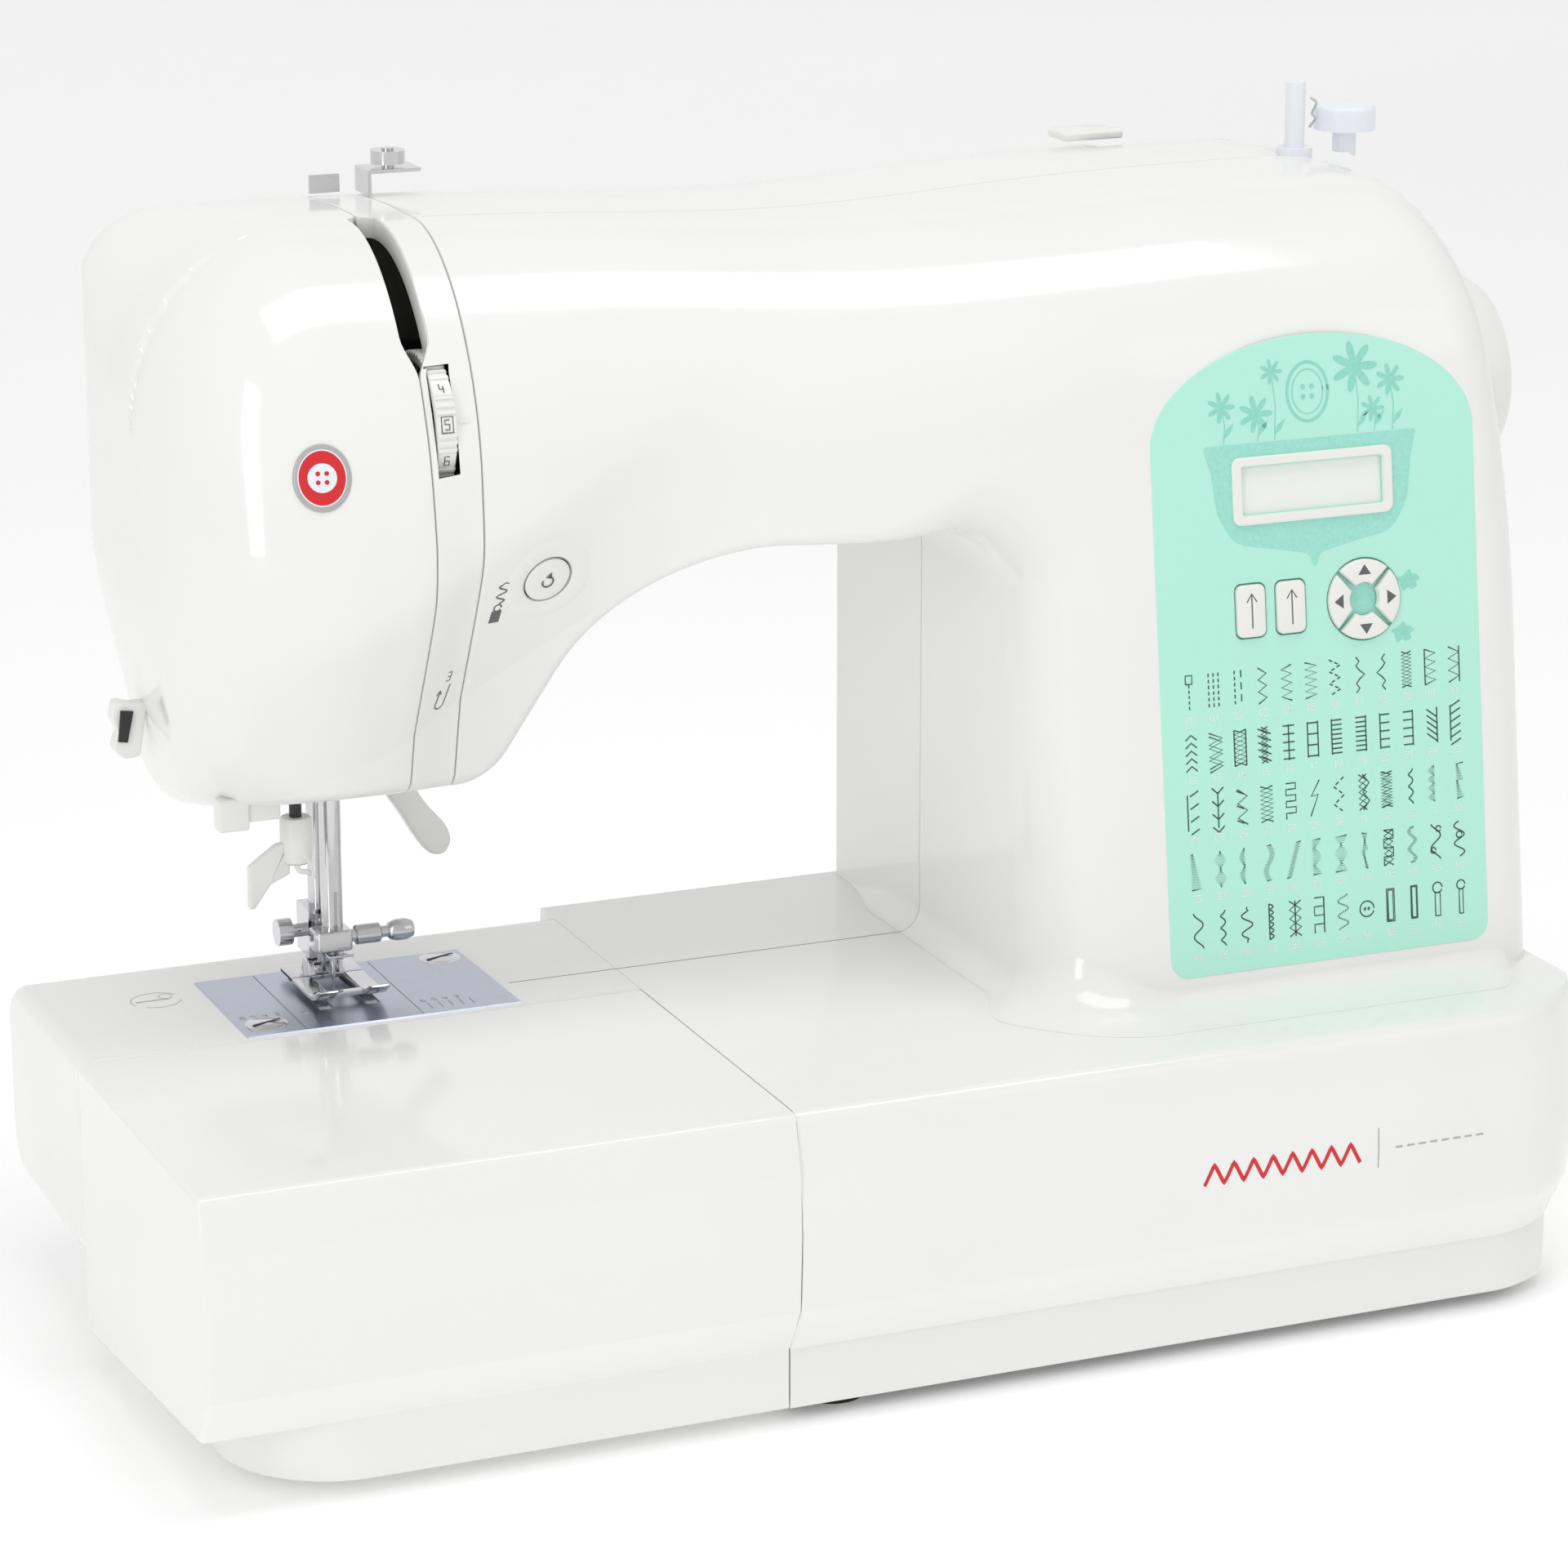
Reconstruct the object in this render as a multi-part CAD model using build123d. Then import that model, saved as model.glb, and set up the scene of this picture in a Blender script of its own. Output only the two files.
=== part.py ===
from build123d import *
import os

os.makedirs("parts", exist_ok=True)

# Sewing machine, millimetres. +X runs from the needle end to the handwheel, the user sits at -Y, +Z is up.
# The model is laid out about the middle of the table front, then moved so that the origin is at the
# bottom centre of the whole machine.

# ---- driving dimensions ----
WALL = 2.5              # plastic wall
GAP = 0.3               # seam between neighbouring covers
BED_Z = 92.5            # top of the free arm and of the table
PLATE_TOP_Z = 93.0      # top of the steel needle plate
LEFT_X = -205.0         # free arm end
RIGHT_X = 222.0         # pillar side
TABLE_FRONT_Y = -100.5  # fullest point of the table front
REAR_Y = 107.0          # back of the machine
HEAD_LEFT_X = -180.5    # left side of the head
SPLIT_Y = 41.3          # seam between front and rear covers
ARM_FRONT_Y = 21.0      # front wall of the free arm
ARM_REAR_Y = 103.0
ARM_UNDER_Z = 33.0      # underside of the free arm
TRAY_LEFT_X = -206.0
TRAY_RIGHT_X = -36.4    # where the accessory tray meets the table
TRAY_REAR_Y = 20.4
STRIP_LEFT_X = -110.0   # threading strip on the head
STRIP_RIGHT_X = -95.0
NEEDLE_X = -120.0
NEEDLE_Y = 53.0
PRESSER_Y = 66.0
SHAFT_Y = 44.0          # arm shaft
SHAFT_Z = 250.0
SHAFT_R = 6.0
LOWER_Y = 86.0          # lower shaft
LOWER_Z = 62.0
LOWER_R = 4.0
MOTOR_Z = 130.0
MOTOR_PULLEY_R, SHAFT_PULLEY_R = 6.0, 24.0    # V-belt pulleys on the motor and on the arm shaft
TIMING_TOP_R, TIMING_LOW_R = 16.0, 8.0        # timing pulleys on the arm shaft and on the lower shaft
BELT_THICK = 1.6
BUSH_R = 9.0            # outside of the arm shaft's bushes
BUSH_SPANS = ((-92, -80), (60, 74), (184, 200))
SWING_Z = 268.0         # pivot of the needle bar's swinging frame
TAKE_UP_Y, TAKE_UP_Z = 62.0, 268.0
LIFTER_X, LIFTER_Z = -104.0, 172.0
FOOT_PIVOT_Y, FOOT_PIVOT_Z = 62.0, 99.6
DIAL_Y, DIAL_Z, DIAL_R = 5.5, 270.0, 20.0     # thread tension dial, standing on edge in the strip
BUTTON_X, BUTTON_Z, BUTTON_R = -73.5, 225.5, 7.0
WINDER_X, WINDER_Y = 184.0, 42.0
STOP_X = 201.0
SPOOL_Y, SPOOL_Z = 94.0, 303.0
THREADER_X, THREADER_Y = -133.0, 44.0
DOG_ROWS = (-127.0, -113.0)
PLATE_SCREWS = ((-147.0, 32.0), (-81.5, 70.0))
COVER_SCREWS = ((-14.0, 64.0), (205.0, 64.0), (203.0, 190.0), (-60.0, 250.0))
FOOT_PLACES = ((-17.0, -75.0), (188.0, -66.0), (-17.0, 80.0), (188.0, 76.0))
RUN = 0.04              # radial clearance of a running fit


# ---- simple solids ----
def block(x0, x1, y0, y1, z0, z1):
    """Box between two opposite corners."""
    centre = Pos((x0 + x1) / 2, (y0 + y1) / 2, (z0 + z1) / 2)
    return centre * Box(x1 - x0, y1 - y0, z1 - z0)


def rod_x(y, z, radius, x0, x1):
    """Cylinder along X."""
    return Pos((x0 + x1) / 2, y, z) * Rot(0, 90, 0) * Cylinder(radius, x1 - x0)


def rod_y(x, z, radius, y0, y1):
    """Cylinder along Y."""
    return Pos(x, (y0 + y1) / 2, z) * Rot(90, 0, 0) * Cylinder(radius, y1 - y0)


def rod_z(x, y, radius, z0, z1):
    """Cylinder along Z."""
    return Pos(x, y, (z0 + z1) / 2) * Cylinder(radius, z1 - z0)


def cut(body, tools):
    """Body with every tool taken away."""
    for tool in tools:
        body = body - tool
    return body


def rounded_outline(points, radii, inset=0.0):
    """Closed face from corner points with a rounding at each corner, drawn inset by a wall."""
    face = Face(Wire(FilletPolyline(*points, radius=radii, close=True).edges()))
    if inset:
        face = offset(face, amount=-inset, kind=Kind.INTERSECTION)
    return face


def prism(points, direction, length):
    """Straight prism on a closed polygon."""
    return extrude(Face(Wire(Polyline(*points, close=True).edges())), amount=length, dir=direction)


# ---- the body: one outline per view, intersected, then hollowed ----
# Front-face curves from low to high, as (y, z): the head's leans back at both ends, the pillar's leans back
# evenly, and the arm between them is a mixture of the two.
HEAD_FRONT = [(40, 60), (22, 130), (10, 165), (4, 190), (-6, 212), (-14, 228), (-16, 245),
              (-13, 268), (-7, 287), (2, 301), (14, 312), (30, 319), (50, 321.5)]
PILLAR_FRONT = [(-64, 60), (-60, 90), (-55, 110), (-50, 150), (-44, 190), (-40, 225), (-37.5, 245),
                (-34.5, 268), (-32, 284), (-26, 300), (-12, 313), (10, 320), (50, 322)]
# stations along X: how far the front curve is from head to pillar, and how much the top dips there
STATIONS = [(-195, 0.0, -1.0), (-75, 0.0, 0.0), (20, 0.45, -4.5), (100, 1.0, -1.5), (235, 1.0, 0.0)]


def front_curve(share, dip):
    """Front curve at a station: the mixture of the two, lowered towards the top by the dip."""
    curve = []
    for (y0, z0), (y1, z1) in zip(HEAD_FRONT, PILLAR_FRONT):
        z = z0 + (z1 - z0) * share
        lowered = dip * min(1.0, max(0.0, (z - 230) / 70))
        curve.append(Vector(0, y0 + (y1 - y0) * share, z + lowered))
    return curve


def side_section(x, share, dip, inset):
    """Closed YZ outline at x: front curve, flat top, rounded rear edge, flat back, flat bottom."""
    curve = front_curve(share, dip)
    points = []
    for i, p in enumerate(curve):
        along = curve[min(i + 1, len(curve) - 1)] - curve[max(i - 1, 0)]
        inward = Vector(0, along.Z, -along.Y).normalized()
        points.append(p + inward * inset + Vector(x, 0, 0))
    first, last = points[0], points[-1]
    rear, round_r = REAR_Y - inset, 15.0
    top = last.Z
    edges = [
        Spline(*points).edge(),
        Line(last, (x, rear - round_r, top)).edge(),
        ThreePointArc((x, rear - round_r, top),
                      (x, rear - round_r * 0.293, top - round_r * 0.293),
                      (x, rear, top - round_r)).edge(),
        Line((x, rear, top - round_r), (x, rear, first.Z)).edge(),
        Line((x, rear, first.Z), first).edge(),
    ]
    return Face(Wire(edges))


def upper_body(inset=0.0):
    """Head, arm and pillar as one solid: side sections along X, trimmed by the front and top views."""
    flow = loft([side_section(x, share, dip, inset) for x, share, dip in STATIONS], ruled=True)
    front_points = [(-167, 0, 154), (-84, 0, 160), (-44, 0, 231), (62, 0, 229), (62, 0, 40),
                    (RIGHT_X, 0, 40),
                    (RIGHT_X, 0, 215), (211, 0, 325), (-180.5, 0, 325), (HEAD_LEFT_X, 0, 225)]
    front_radii = [14, 4, 40, 20, 0.5, 0.5, 60, 24, 42, 60]
    top_points = [(HEAD_LEFT_X, -17, 0), (-95, -26, 0), (60, -48, 0), (95, -78, 0), (RIGHT_X, -78, 0),
                  (RIGHT_X, 120, 0), (HEAD_LEFT_X, 120, 0)]
    top_radii = [40, 5, 5, 5, 20, 30, 30]
    front_view = extrude(rounded_outline(front_points, front_radii, inset), amount=300,
                         dir=(0, 1, 0), both=True)
    top_view = extrude(rounded_outline(top_points, top_radii, inset), amount=400, dir=(0, 0, 1))
    return flow & front_view & top_view


def table_body(inset=0.0):
    """The right part of the table: bulging front, recessed plinth, rounded right-hand corners."""
    front = TABLE_FRONT_Y
    profile = [(0, -94, BED_Z), (0, front, 58), (0, front + 1.5, 36), (0, front + 9, 22),
               (0, REAR_Y - 5, 22),
               (0, REAR_Y, 36), (0, REAR_Y, BED_Z)]
    radii = [4, 40, 6, 0.5, 0.5, 4, 5]
    upper = extrude(rounded_outline(profile, radii, inset), amount=300, dir=(1, 0, 0))
    upper = Pos(-36 + inset, 0, 0) * upper
    plan = [(-100, front - 20, 0), (RIGHT_X, front - 2, 0), (RIGHT_X, 120, 0), (-100, 120, 0)]
    upper = upper & extrude(rounded_outline(plan, [5, 34, 34, 5], inset), amount=400, dir=(0, 0, 1))
    plinth = [(-36, front + 9, 0), (RIGHT_X - 7, front + 9, 0), (RIGHT_X - 7, REAR_Y - 7, 0),
              (-36, REAR_Y - 7, 0)]
    foot = extrude(rounded_outline(plinth, [0.5, 28, 28, 0.5], inset), amount=22 + 2 * inset)
    foot = Pos(0, 0, 4 - inset) * foot
    return upper + foot


def free_arm_body(inset=0.0):
    """The cantilevered free arm that fabric tubes are pulled over."""
    section = [(0, ARM_FRONT_Y, ARM_UNDER_Z), (0, ARM_REAR_Y, ARM_UNDER_Z), (0, ARM_REAR_Y, BED_Z),
               (0, ARM_FRONT_Y, BED_Z)]
    face = rounded_outline(section, [5, 5, 3, 1.5], inset)
    return Pos(LEFT_X + inset, 0, 0) * extrude(face, amount=200, dir=(1, 0, 0))


OUTER_UPPER = upper_body()
OUTER = OUTER_UPPER + table_body() + free_arm_body()
HOLLOW = upper_body(WALL) + table_body(WALL) + free_arm_body(WALL)
SHELL = OUTER - HOLLOW

# openings in the covers
SLOT = block(STRIP_LEFT_X - 3, STRIP_LEFT_X + 4, -30, 45, 292, 330)
UNDER_HEAD = block(-139, -96, 37, 78, 140, 175)
LIFTER_SLOT = block(-98, -62, 68.5, 77.5, 140, 196)
BUTTONHOLE_SLOT = block(-161.5, -141, 26.5, 33.5, 140, 170)
DIAL_WINDOW = block(-108.8, -101.2, -30, 8, 253, 289)
REVERSE_HOLE = rod_y(BUTTON_X, BUTTON_Z, BUTTON_R + 0.4, -40, 10)
WINDER_SLOT = block(176, 196, 36, 48, 300, 340)
SPOOL_RECESS = block(138, 205, 80, 130, 286, 340)
PLATE_OPENING = block(-156.2, -72.0, 21.5, 77.0, 80, 100)
INLET_HOLE = block(215, 230, 50, 76, 46, 70)
SWITCH_HOLE = block(215, 230, 81.5, 96.5, 45.5, 70.5)
FEED_LEVER_SLOT = block(4, 26, 95, 110, 62, 68)
WHEEL_HOLE = rod_x(SHAFT_Y, SHAFT_Z, 12, 214, 230)
OPENINGS = [SLOT, UNDER_HEAD, LIFTER_SLOT, BUTTONHOLE_SLOT, DIAL_WINDOW, REVERSE_HOLE, WINDER_SLOT, SPOOL_RECESS,
            PLATE_OPENING, INLET_HOLE, SWITCH_HOLE, FEED_LEVER_SLOT, WHEEL_HOLE]

# ---- covers: the shell divided along its seams ----
HIGH, LOW = (130, 400), (0, 130)
FACE_REGION = block(-300, STRIP_LEFT_X - GAP / 2, -200, 200, *HIGH)
STRIP_REGION = block(STRIP_LEFT_X + GAP / 2, STRIP_RIGHT_X - GAP / 2, -200, SPLIT_Y - GAP / 2, *HIGH)
FRONT_REGION = (block(STRIP_RIGHT_X + GAP / 2, 300, -200, SPLIT_Y - GAP / 2, *HIGH)
                + block(-70, 300, -200, SPLIT_Y - GAP / 2, 80, 130)
                + block(-36.0, 300, -200, SPLIT_Y - GAP / 2, 0, 80))
REAR_REGION = (block(STRIP_LEFT_X + GAP / 2, 300, SPLIT_Y + GAP / 2, 200, 0, 400)
               + block(-300, STRIP_LEFT_X + GAP / 2, -200, 200, *LOW)
               + block(STRIP_LEFT_X, -70 - GAP, -200, SPLIT_Y + GAP, *LOW)
               + block(-70 - GAP, -36 - GAP, -200, SPLIT_Y + GAP, 0, 80 - GAP))

# ---- control panel: laid out flat, then placed on the leaning pillar front ----
PANEL_TILT = 7.8                  # degrees the panel leans back from upright
PANEL_W, PANEL_H, PANEL_T = 105.0, 187.0, 1.2
PANEL_ARCH = 30.0
KEY_TRAVEL = 1.0
RECT_KEYS = {"left_program_key": (-22.5, 15.5), "right_program_key": (-9.5, 15.5)}
RECT_KEY_SIZE = (9.4, 15.4)
RING_CENTRE = (14.5, 15.5)
RING_INNER, RING_OUTER = 4.4, 12.2
ARROW_KEYS = {"right_arrow_key": 0, "up_arrow_key": 90, "left_arrow_key": 180, "down_arrow_key": 270}
DISPLAY_AT = (-1.0, 50.0)
DISPLAY_SIZE = (52.0, 19.5)


def on_panel(x=0.0, y=0.0, z=0.0):
    """Place on the panel: x across it, z up it, y into the machine from its front face."""
    return Pos(150, -44.6, 190) * Rot(-PANEL_TILT, 0, 0) * Pos(x, y, z)


def panel_plate(width, height, depth):
    """Plate with an arched top and rounded lower corners, its front face at y 0."""
    half, top = width / 2, height / 2
    left, right = (-half, 0, top - PANEL_ARCH), (half, 0, top - PANEL_ARCH)
    low_left, low_right = (-half, 0, -top), (half, 0, -top)
    outline = [ThreePointArc(left, (0, 0, top), right).edge(), Line(right, low_right).edge(),
               Line(low_right, low_left).edge(), Line(low_left, left).edge()]
    plate = extrude(Face(Wire(outline)), amount=depth, dir=(0, 1, 0))
    return fillet(plate.edges().filter_by(Axis.Y).group_by(Axis.Z)[0], 5)


def rounded_block(width, depth, height, radius):
    """Block centred in x and z, from y 0 to its depth, with its four Y edges rounded."""
    body = Pos(0, depth / 2, 0) * Box(width, depth, height)
    return fillet(body.edges().filter_by(Axis.Y), radius)


def quarter_key(angle, grow, depth):
    """Key shaped as a quarter of a ring and pointing along the angle, drawn larger for its hole."""
    ring = rod_y(0, 0, RING_OUTER + grow, 0, depth) - rod_y(0, 0, RING_INNER - grow, -1, depth + 1)
    wedge = prism([(0.9 - grow, 0, 0), (30, 0, 28.6 + grow), (30, 0, -28.6 - grow)], (0, 1, 0), depth)
    return Rot(0, -angle, 0) * (ring & wedge)


def key_bodies(grow, depth):
    """The six keys (or their holes) in panel coordinates, by node name."""
    made = {}
    for name, (x, z) in RECT_KEYS.items():
        made[name] = Pos(x, 0, z) * rounded_block(RECT_KEY_SIZE[0] + 2 * grow, depth,
                                                  RECT_KEY_SIZE[1] + 2 * grow, 2.4)
    for name, angle in ARROW_KEYS.items():
        made[name] = Pos(RING_CENTRE[0], 0, RING_CENTRE[1]) * quarter_key(angle, grow, depth)
    return made


PANEL_POCKET = on_panel(0, -30, 0) * panel_plate(PANEL_W + 0.6, PANEL_H + 0.6, 30 + PANEL_T + 0.2)
PANEL_BACKING = on_panel(0, PANEL_T + 0.2, 0) * panel_plate(PANEL_W + 4, PANEL_H + 4, WALL)
CONTROL_HOLES = [on_panel(0, -5, 0) * hole for hole in key_bodies(0.4, 25).values()]
CONTROL_HOLES.append(on_panel(DISPLAY_AT[0], -5, DISPLAY_AT[1])
                     * rounded_block(DISPLAY_SIZE[0] + 0.5, 25, DISPLAY_SIZE[1] + 0.5, 3))


def screw_well(x, z):
    """Cup moulded in the rear cover that sinks a screw head below the surface."""
    return rod_y(x, z, 6, 92, REAR_Y - 0.1)


def casing():
    """The covers and what is moulded into them."""
    shell = cut(SHELL, OPENINGS)
    front = (shell & FRONT_REGION) + (PANEL_BACKING & block(64, 220, -70, 40, 80, 300))
    front = cut(front - PANEL_POCKET, CONTROL_HOLES)
    trough = block(135.5, 207.5, 77.5, 104, 283.5, 319) & OUTER_UPPER
    tab = block(131, 151, 92, 105, 312, 323.5) - rod_z(138, 99, 2.5, 300, 330)
    rear = (shell & REAR_REGION) + trough + tab - SPOOL_RECESS
    for x, z in COVER_SCREWS:
        rear = rear + screw_well(x, z) - rod_y(x, z, 4.5, 99, 110) - rod_y(x, z, 2.1, 90, 100)
    return {
        "front_cover": front,
        "rear_cover": rear,
        "face_cover": shell & FACE_REGION,
        "threading_strip": shell & STRIP_REGION,
    }


def tray_body(inset):
    """The tray's outside, or its inside when inset by the wall."""
    front, top = TABLE_FRONT_Y, BED_Z + 0.3
    profile = [(0, -95, top), (0, front, 58), (0, front + 1.5, 36), (0, front + 9, 22),
               (0, TRAY_REAR_Y, 12), (0, TRAY_REAR_Y, top)]
    length = TRAY_RIGHT_X - TRAY_LEFT_X
    shape = extrude(rounded_outline(profile, [1.5, 40, 6, 0.5, 0.5, 0.5], inset),
                    amount=length - 2 * inset, dir=(1, 0, 0))
    plinth = [(TRAY_LEFT_X + 14, front + 9, 0), (TRAY_RIGHT_X, front + 9, 0),
              (TRAY_RIGHT_X, TRAY_REAR_Y - 3, 0), (TRAY_LEFT_X + 14, TRAY_REAR_Y - 3, 0)]
    foot = extrude(rounded_outline(plinth, [34, 0.5, 0.5, 8], inset), amount=24)
    return Pos(TRAY_LEFT_X + inset, 0, 0) * shape + Pos(0, 0, 4 + inset) * foot


def table_parts():
    """Bottom plate, feet, accessory tray and needle plate."""
    bottom = block(-33, 211, -88, 97, 4.2, 6.8)
    bottom = fillet(bottom.edges().filter_by(Axis.Z).group_by(Axis.X)[-1], 25)
    bottom = cut(bottom, [rod_z(x, y, 3.0, 0, 10) for x, y in FOOT_PLACES])
    feet = [rod_z(x, y, 9.5, 0, 4.0) + rod_z(x, y, 2.9, 3.9, 8.0) for x, y in FOOT_PLACES]

    tray = tray_body(0) - tray_body(WALL) - block(-200, TRAY_RIGHT_X - 5, 10, 40, 26, 86)
    tray = tray + (block(-122, -119.5, -97, TRAY_REAR_Y - 2, 14, 91.5) & tray_body(0))

    corners = [(-155.9, 21.8), (-72.2, 21.8), (-73.4, 76.7), (-155.9, 76.7)]
    plate = prism([(x, y, 90.8) for x, y in corners], (0, 0, 1), PLATE_TOP_Z - 90.8)
    plate = chamfer(plate.edges().group_by(Axis.Z)[-1], 0.8)
    openings = [block(NEEDLE_X - 4.5, NEEDLE_X + 4.5, 51.8, 54.2, 90, 95)]
    openings += [block(x - 2.2, x + 2.2, 37.5, 68.5, 90, 95) for x in DOG_ROWS]
    openings += [rod_z(-133.5, 37.5, 1.2, 90, 95)]
    openings += [rod_z(x, y, 2.1, 90, 95) for x, y in PLATE_SCREWS]
    screws = []
    for x, y in PLATE_SCREWS:
        screw = rod_z(x, y, 2.0, 86, 93.0) + rod_z(x, y, 5.2, 93.05, 94.2) + rod_z(x, y, 2.0, 92.9, 93.2)
        screws.append(screw - Pos(x, y, 94.2) * Rot(0, 0, 25) * Box(12, 1.2, 1.2))
    return {
        "bottom_plate": bottom,
        "rubber_feet": Compound(feet),
        "accessory_tray": tray,
        "needle_plate": cut(plate, openings),
        "plate_screws": Compound(screws),
    }


def castings():
    """Bed casting with the hook race, and the arm casting with its bearing lugs."""
    bed = block(-186, 60, 27, 97, 38, 44) + block(60, 195, -45, 97, 38, 44)
    bed = bed + block(96, 110, -45, 97, 8, 38) + block(-20, -10, -45, 97, 8, 38)
    for x0, x1 in ((-100, -90), (50, 60), (180, 190)):
        bed = bed + block(x0, x1, 76, 96, 43, 74)
    bed = bed - rod_x(LOWER_Y, LOWER_Z, LOWER_R + RUN, -110, 200)
    bed = bed + (block(-130, -110, 67, 73, 43, 76) - rod_y(NEEDLE_X, LOWER_Z, LOWER_R + RUN, 60, 80))
    race = rod_y(NEEDLE_X, LOWER_Z, 21, 57, 66) - rod_y(NEEDLE_X, LOWER_Z, 17.5, 50, 70)
    bed = bed + race
    for x, y in PLATE_SCREWS:
        bed = bed + (rod_z(x, y, 5, 43, 90.6) - rod_z(x, y, 2.05, 80, 95))

    arm = block(-170, 208, 79, 92, 240, 276) + block(-150, -100, 79, 92, 164, 241)
    arm = arm + block(104, 160, 79, 92, 92, 241) + block(104, 160, 68, 92, 84, 96)
    arm = arm + block(104, 160, 68, 78, 44, 90)
    for x0, x1 in BUSH_SPANS:
        arm = arm + block(x0, x1, 29, 80, 235, 274)
    arm = arm - rod_x(SHAFT_Y, SHAFT_Z, BUSH_R, -120, 210)
    arm = arm - rod_x(TAKE_UP_Y, TAKE_UP_Z, 2.5 + RUN, -110, -80)
    for z0, z1 in ((168, 176), (200, 210)):
        arm = arm + block(-128, -112, 62.5, 80, z0, z1)
    arm = arm - rod_z(NEEDLE_X, PRESSER_Y, 3 + RUN, 150, 215)
    arm = arm - rod_y(NEEDLE_X, SWING_Z, 4 + RUN, 70, 95)
    arm = arm + (block(-109, -99, 79, 86, 164, 180)) - rod_y(LIFTER_X, LIFTER_Z, 3 + RUN, 70, 88)
    bushes = [rod_x(SHAFT_Y, SHAFT_Z, BUSH_R, x0, x1) - rod_x(SHAFT_Y, SHAFT_Z, SHAFT_R + RUN, x0 - 1, x1 + 1)
              for x0, x1 in BUSH_SPANS]
    return {"bed_frame": bed, "arm_frame": arm, "shaft_bushes": Compound(bushes)}


def round_pulleys(upper, lower, x0, x1, extra):
    """Hull of two discs across X, each given as (y, z, radius), drawn larger by the extra."""
    (y0, z0, r0), (y1, z1, r1) = upper, lower
    a, b = Vector(x0, y0, z0), Vector(x0, y1, z1)
    r0, r1 = r0 + extra, r1 + extra
    forward = (b - a).normalized()
    side = Vector(0, -forward.Z, forward.Y)
    lean = (r0 - r1) / (b - a).length
    reach = (1 - lean * lean) ** 0.5
    one, other = side * reach + forward * lean, forward * lean - side * reach
    corners = [a + one * r0, b + one * r1, b + other * r1, a + other * r0]
    straight = prism([tuple(c) for c in corners], (1, 0, 0), x1 - x0)
    return straight + rod_x(y0, z0, r0, x0, x1) + rod_x(y1, z1, r1, x0, x1)


def belt(y0, z0, r0, y1, z1, r1, x0, x1):
    """Open belt round two pulleys, just clear of both."""
    upper, lower = (y0, z0, r0), (y1, z1, r1)
    return round_pulleys(upper, lower, x0, x1, GAP + BELT_THICK) - round_pulleys(upper, lower, x0, x1, GAP)


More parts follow.
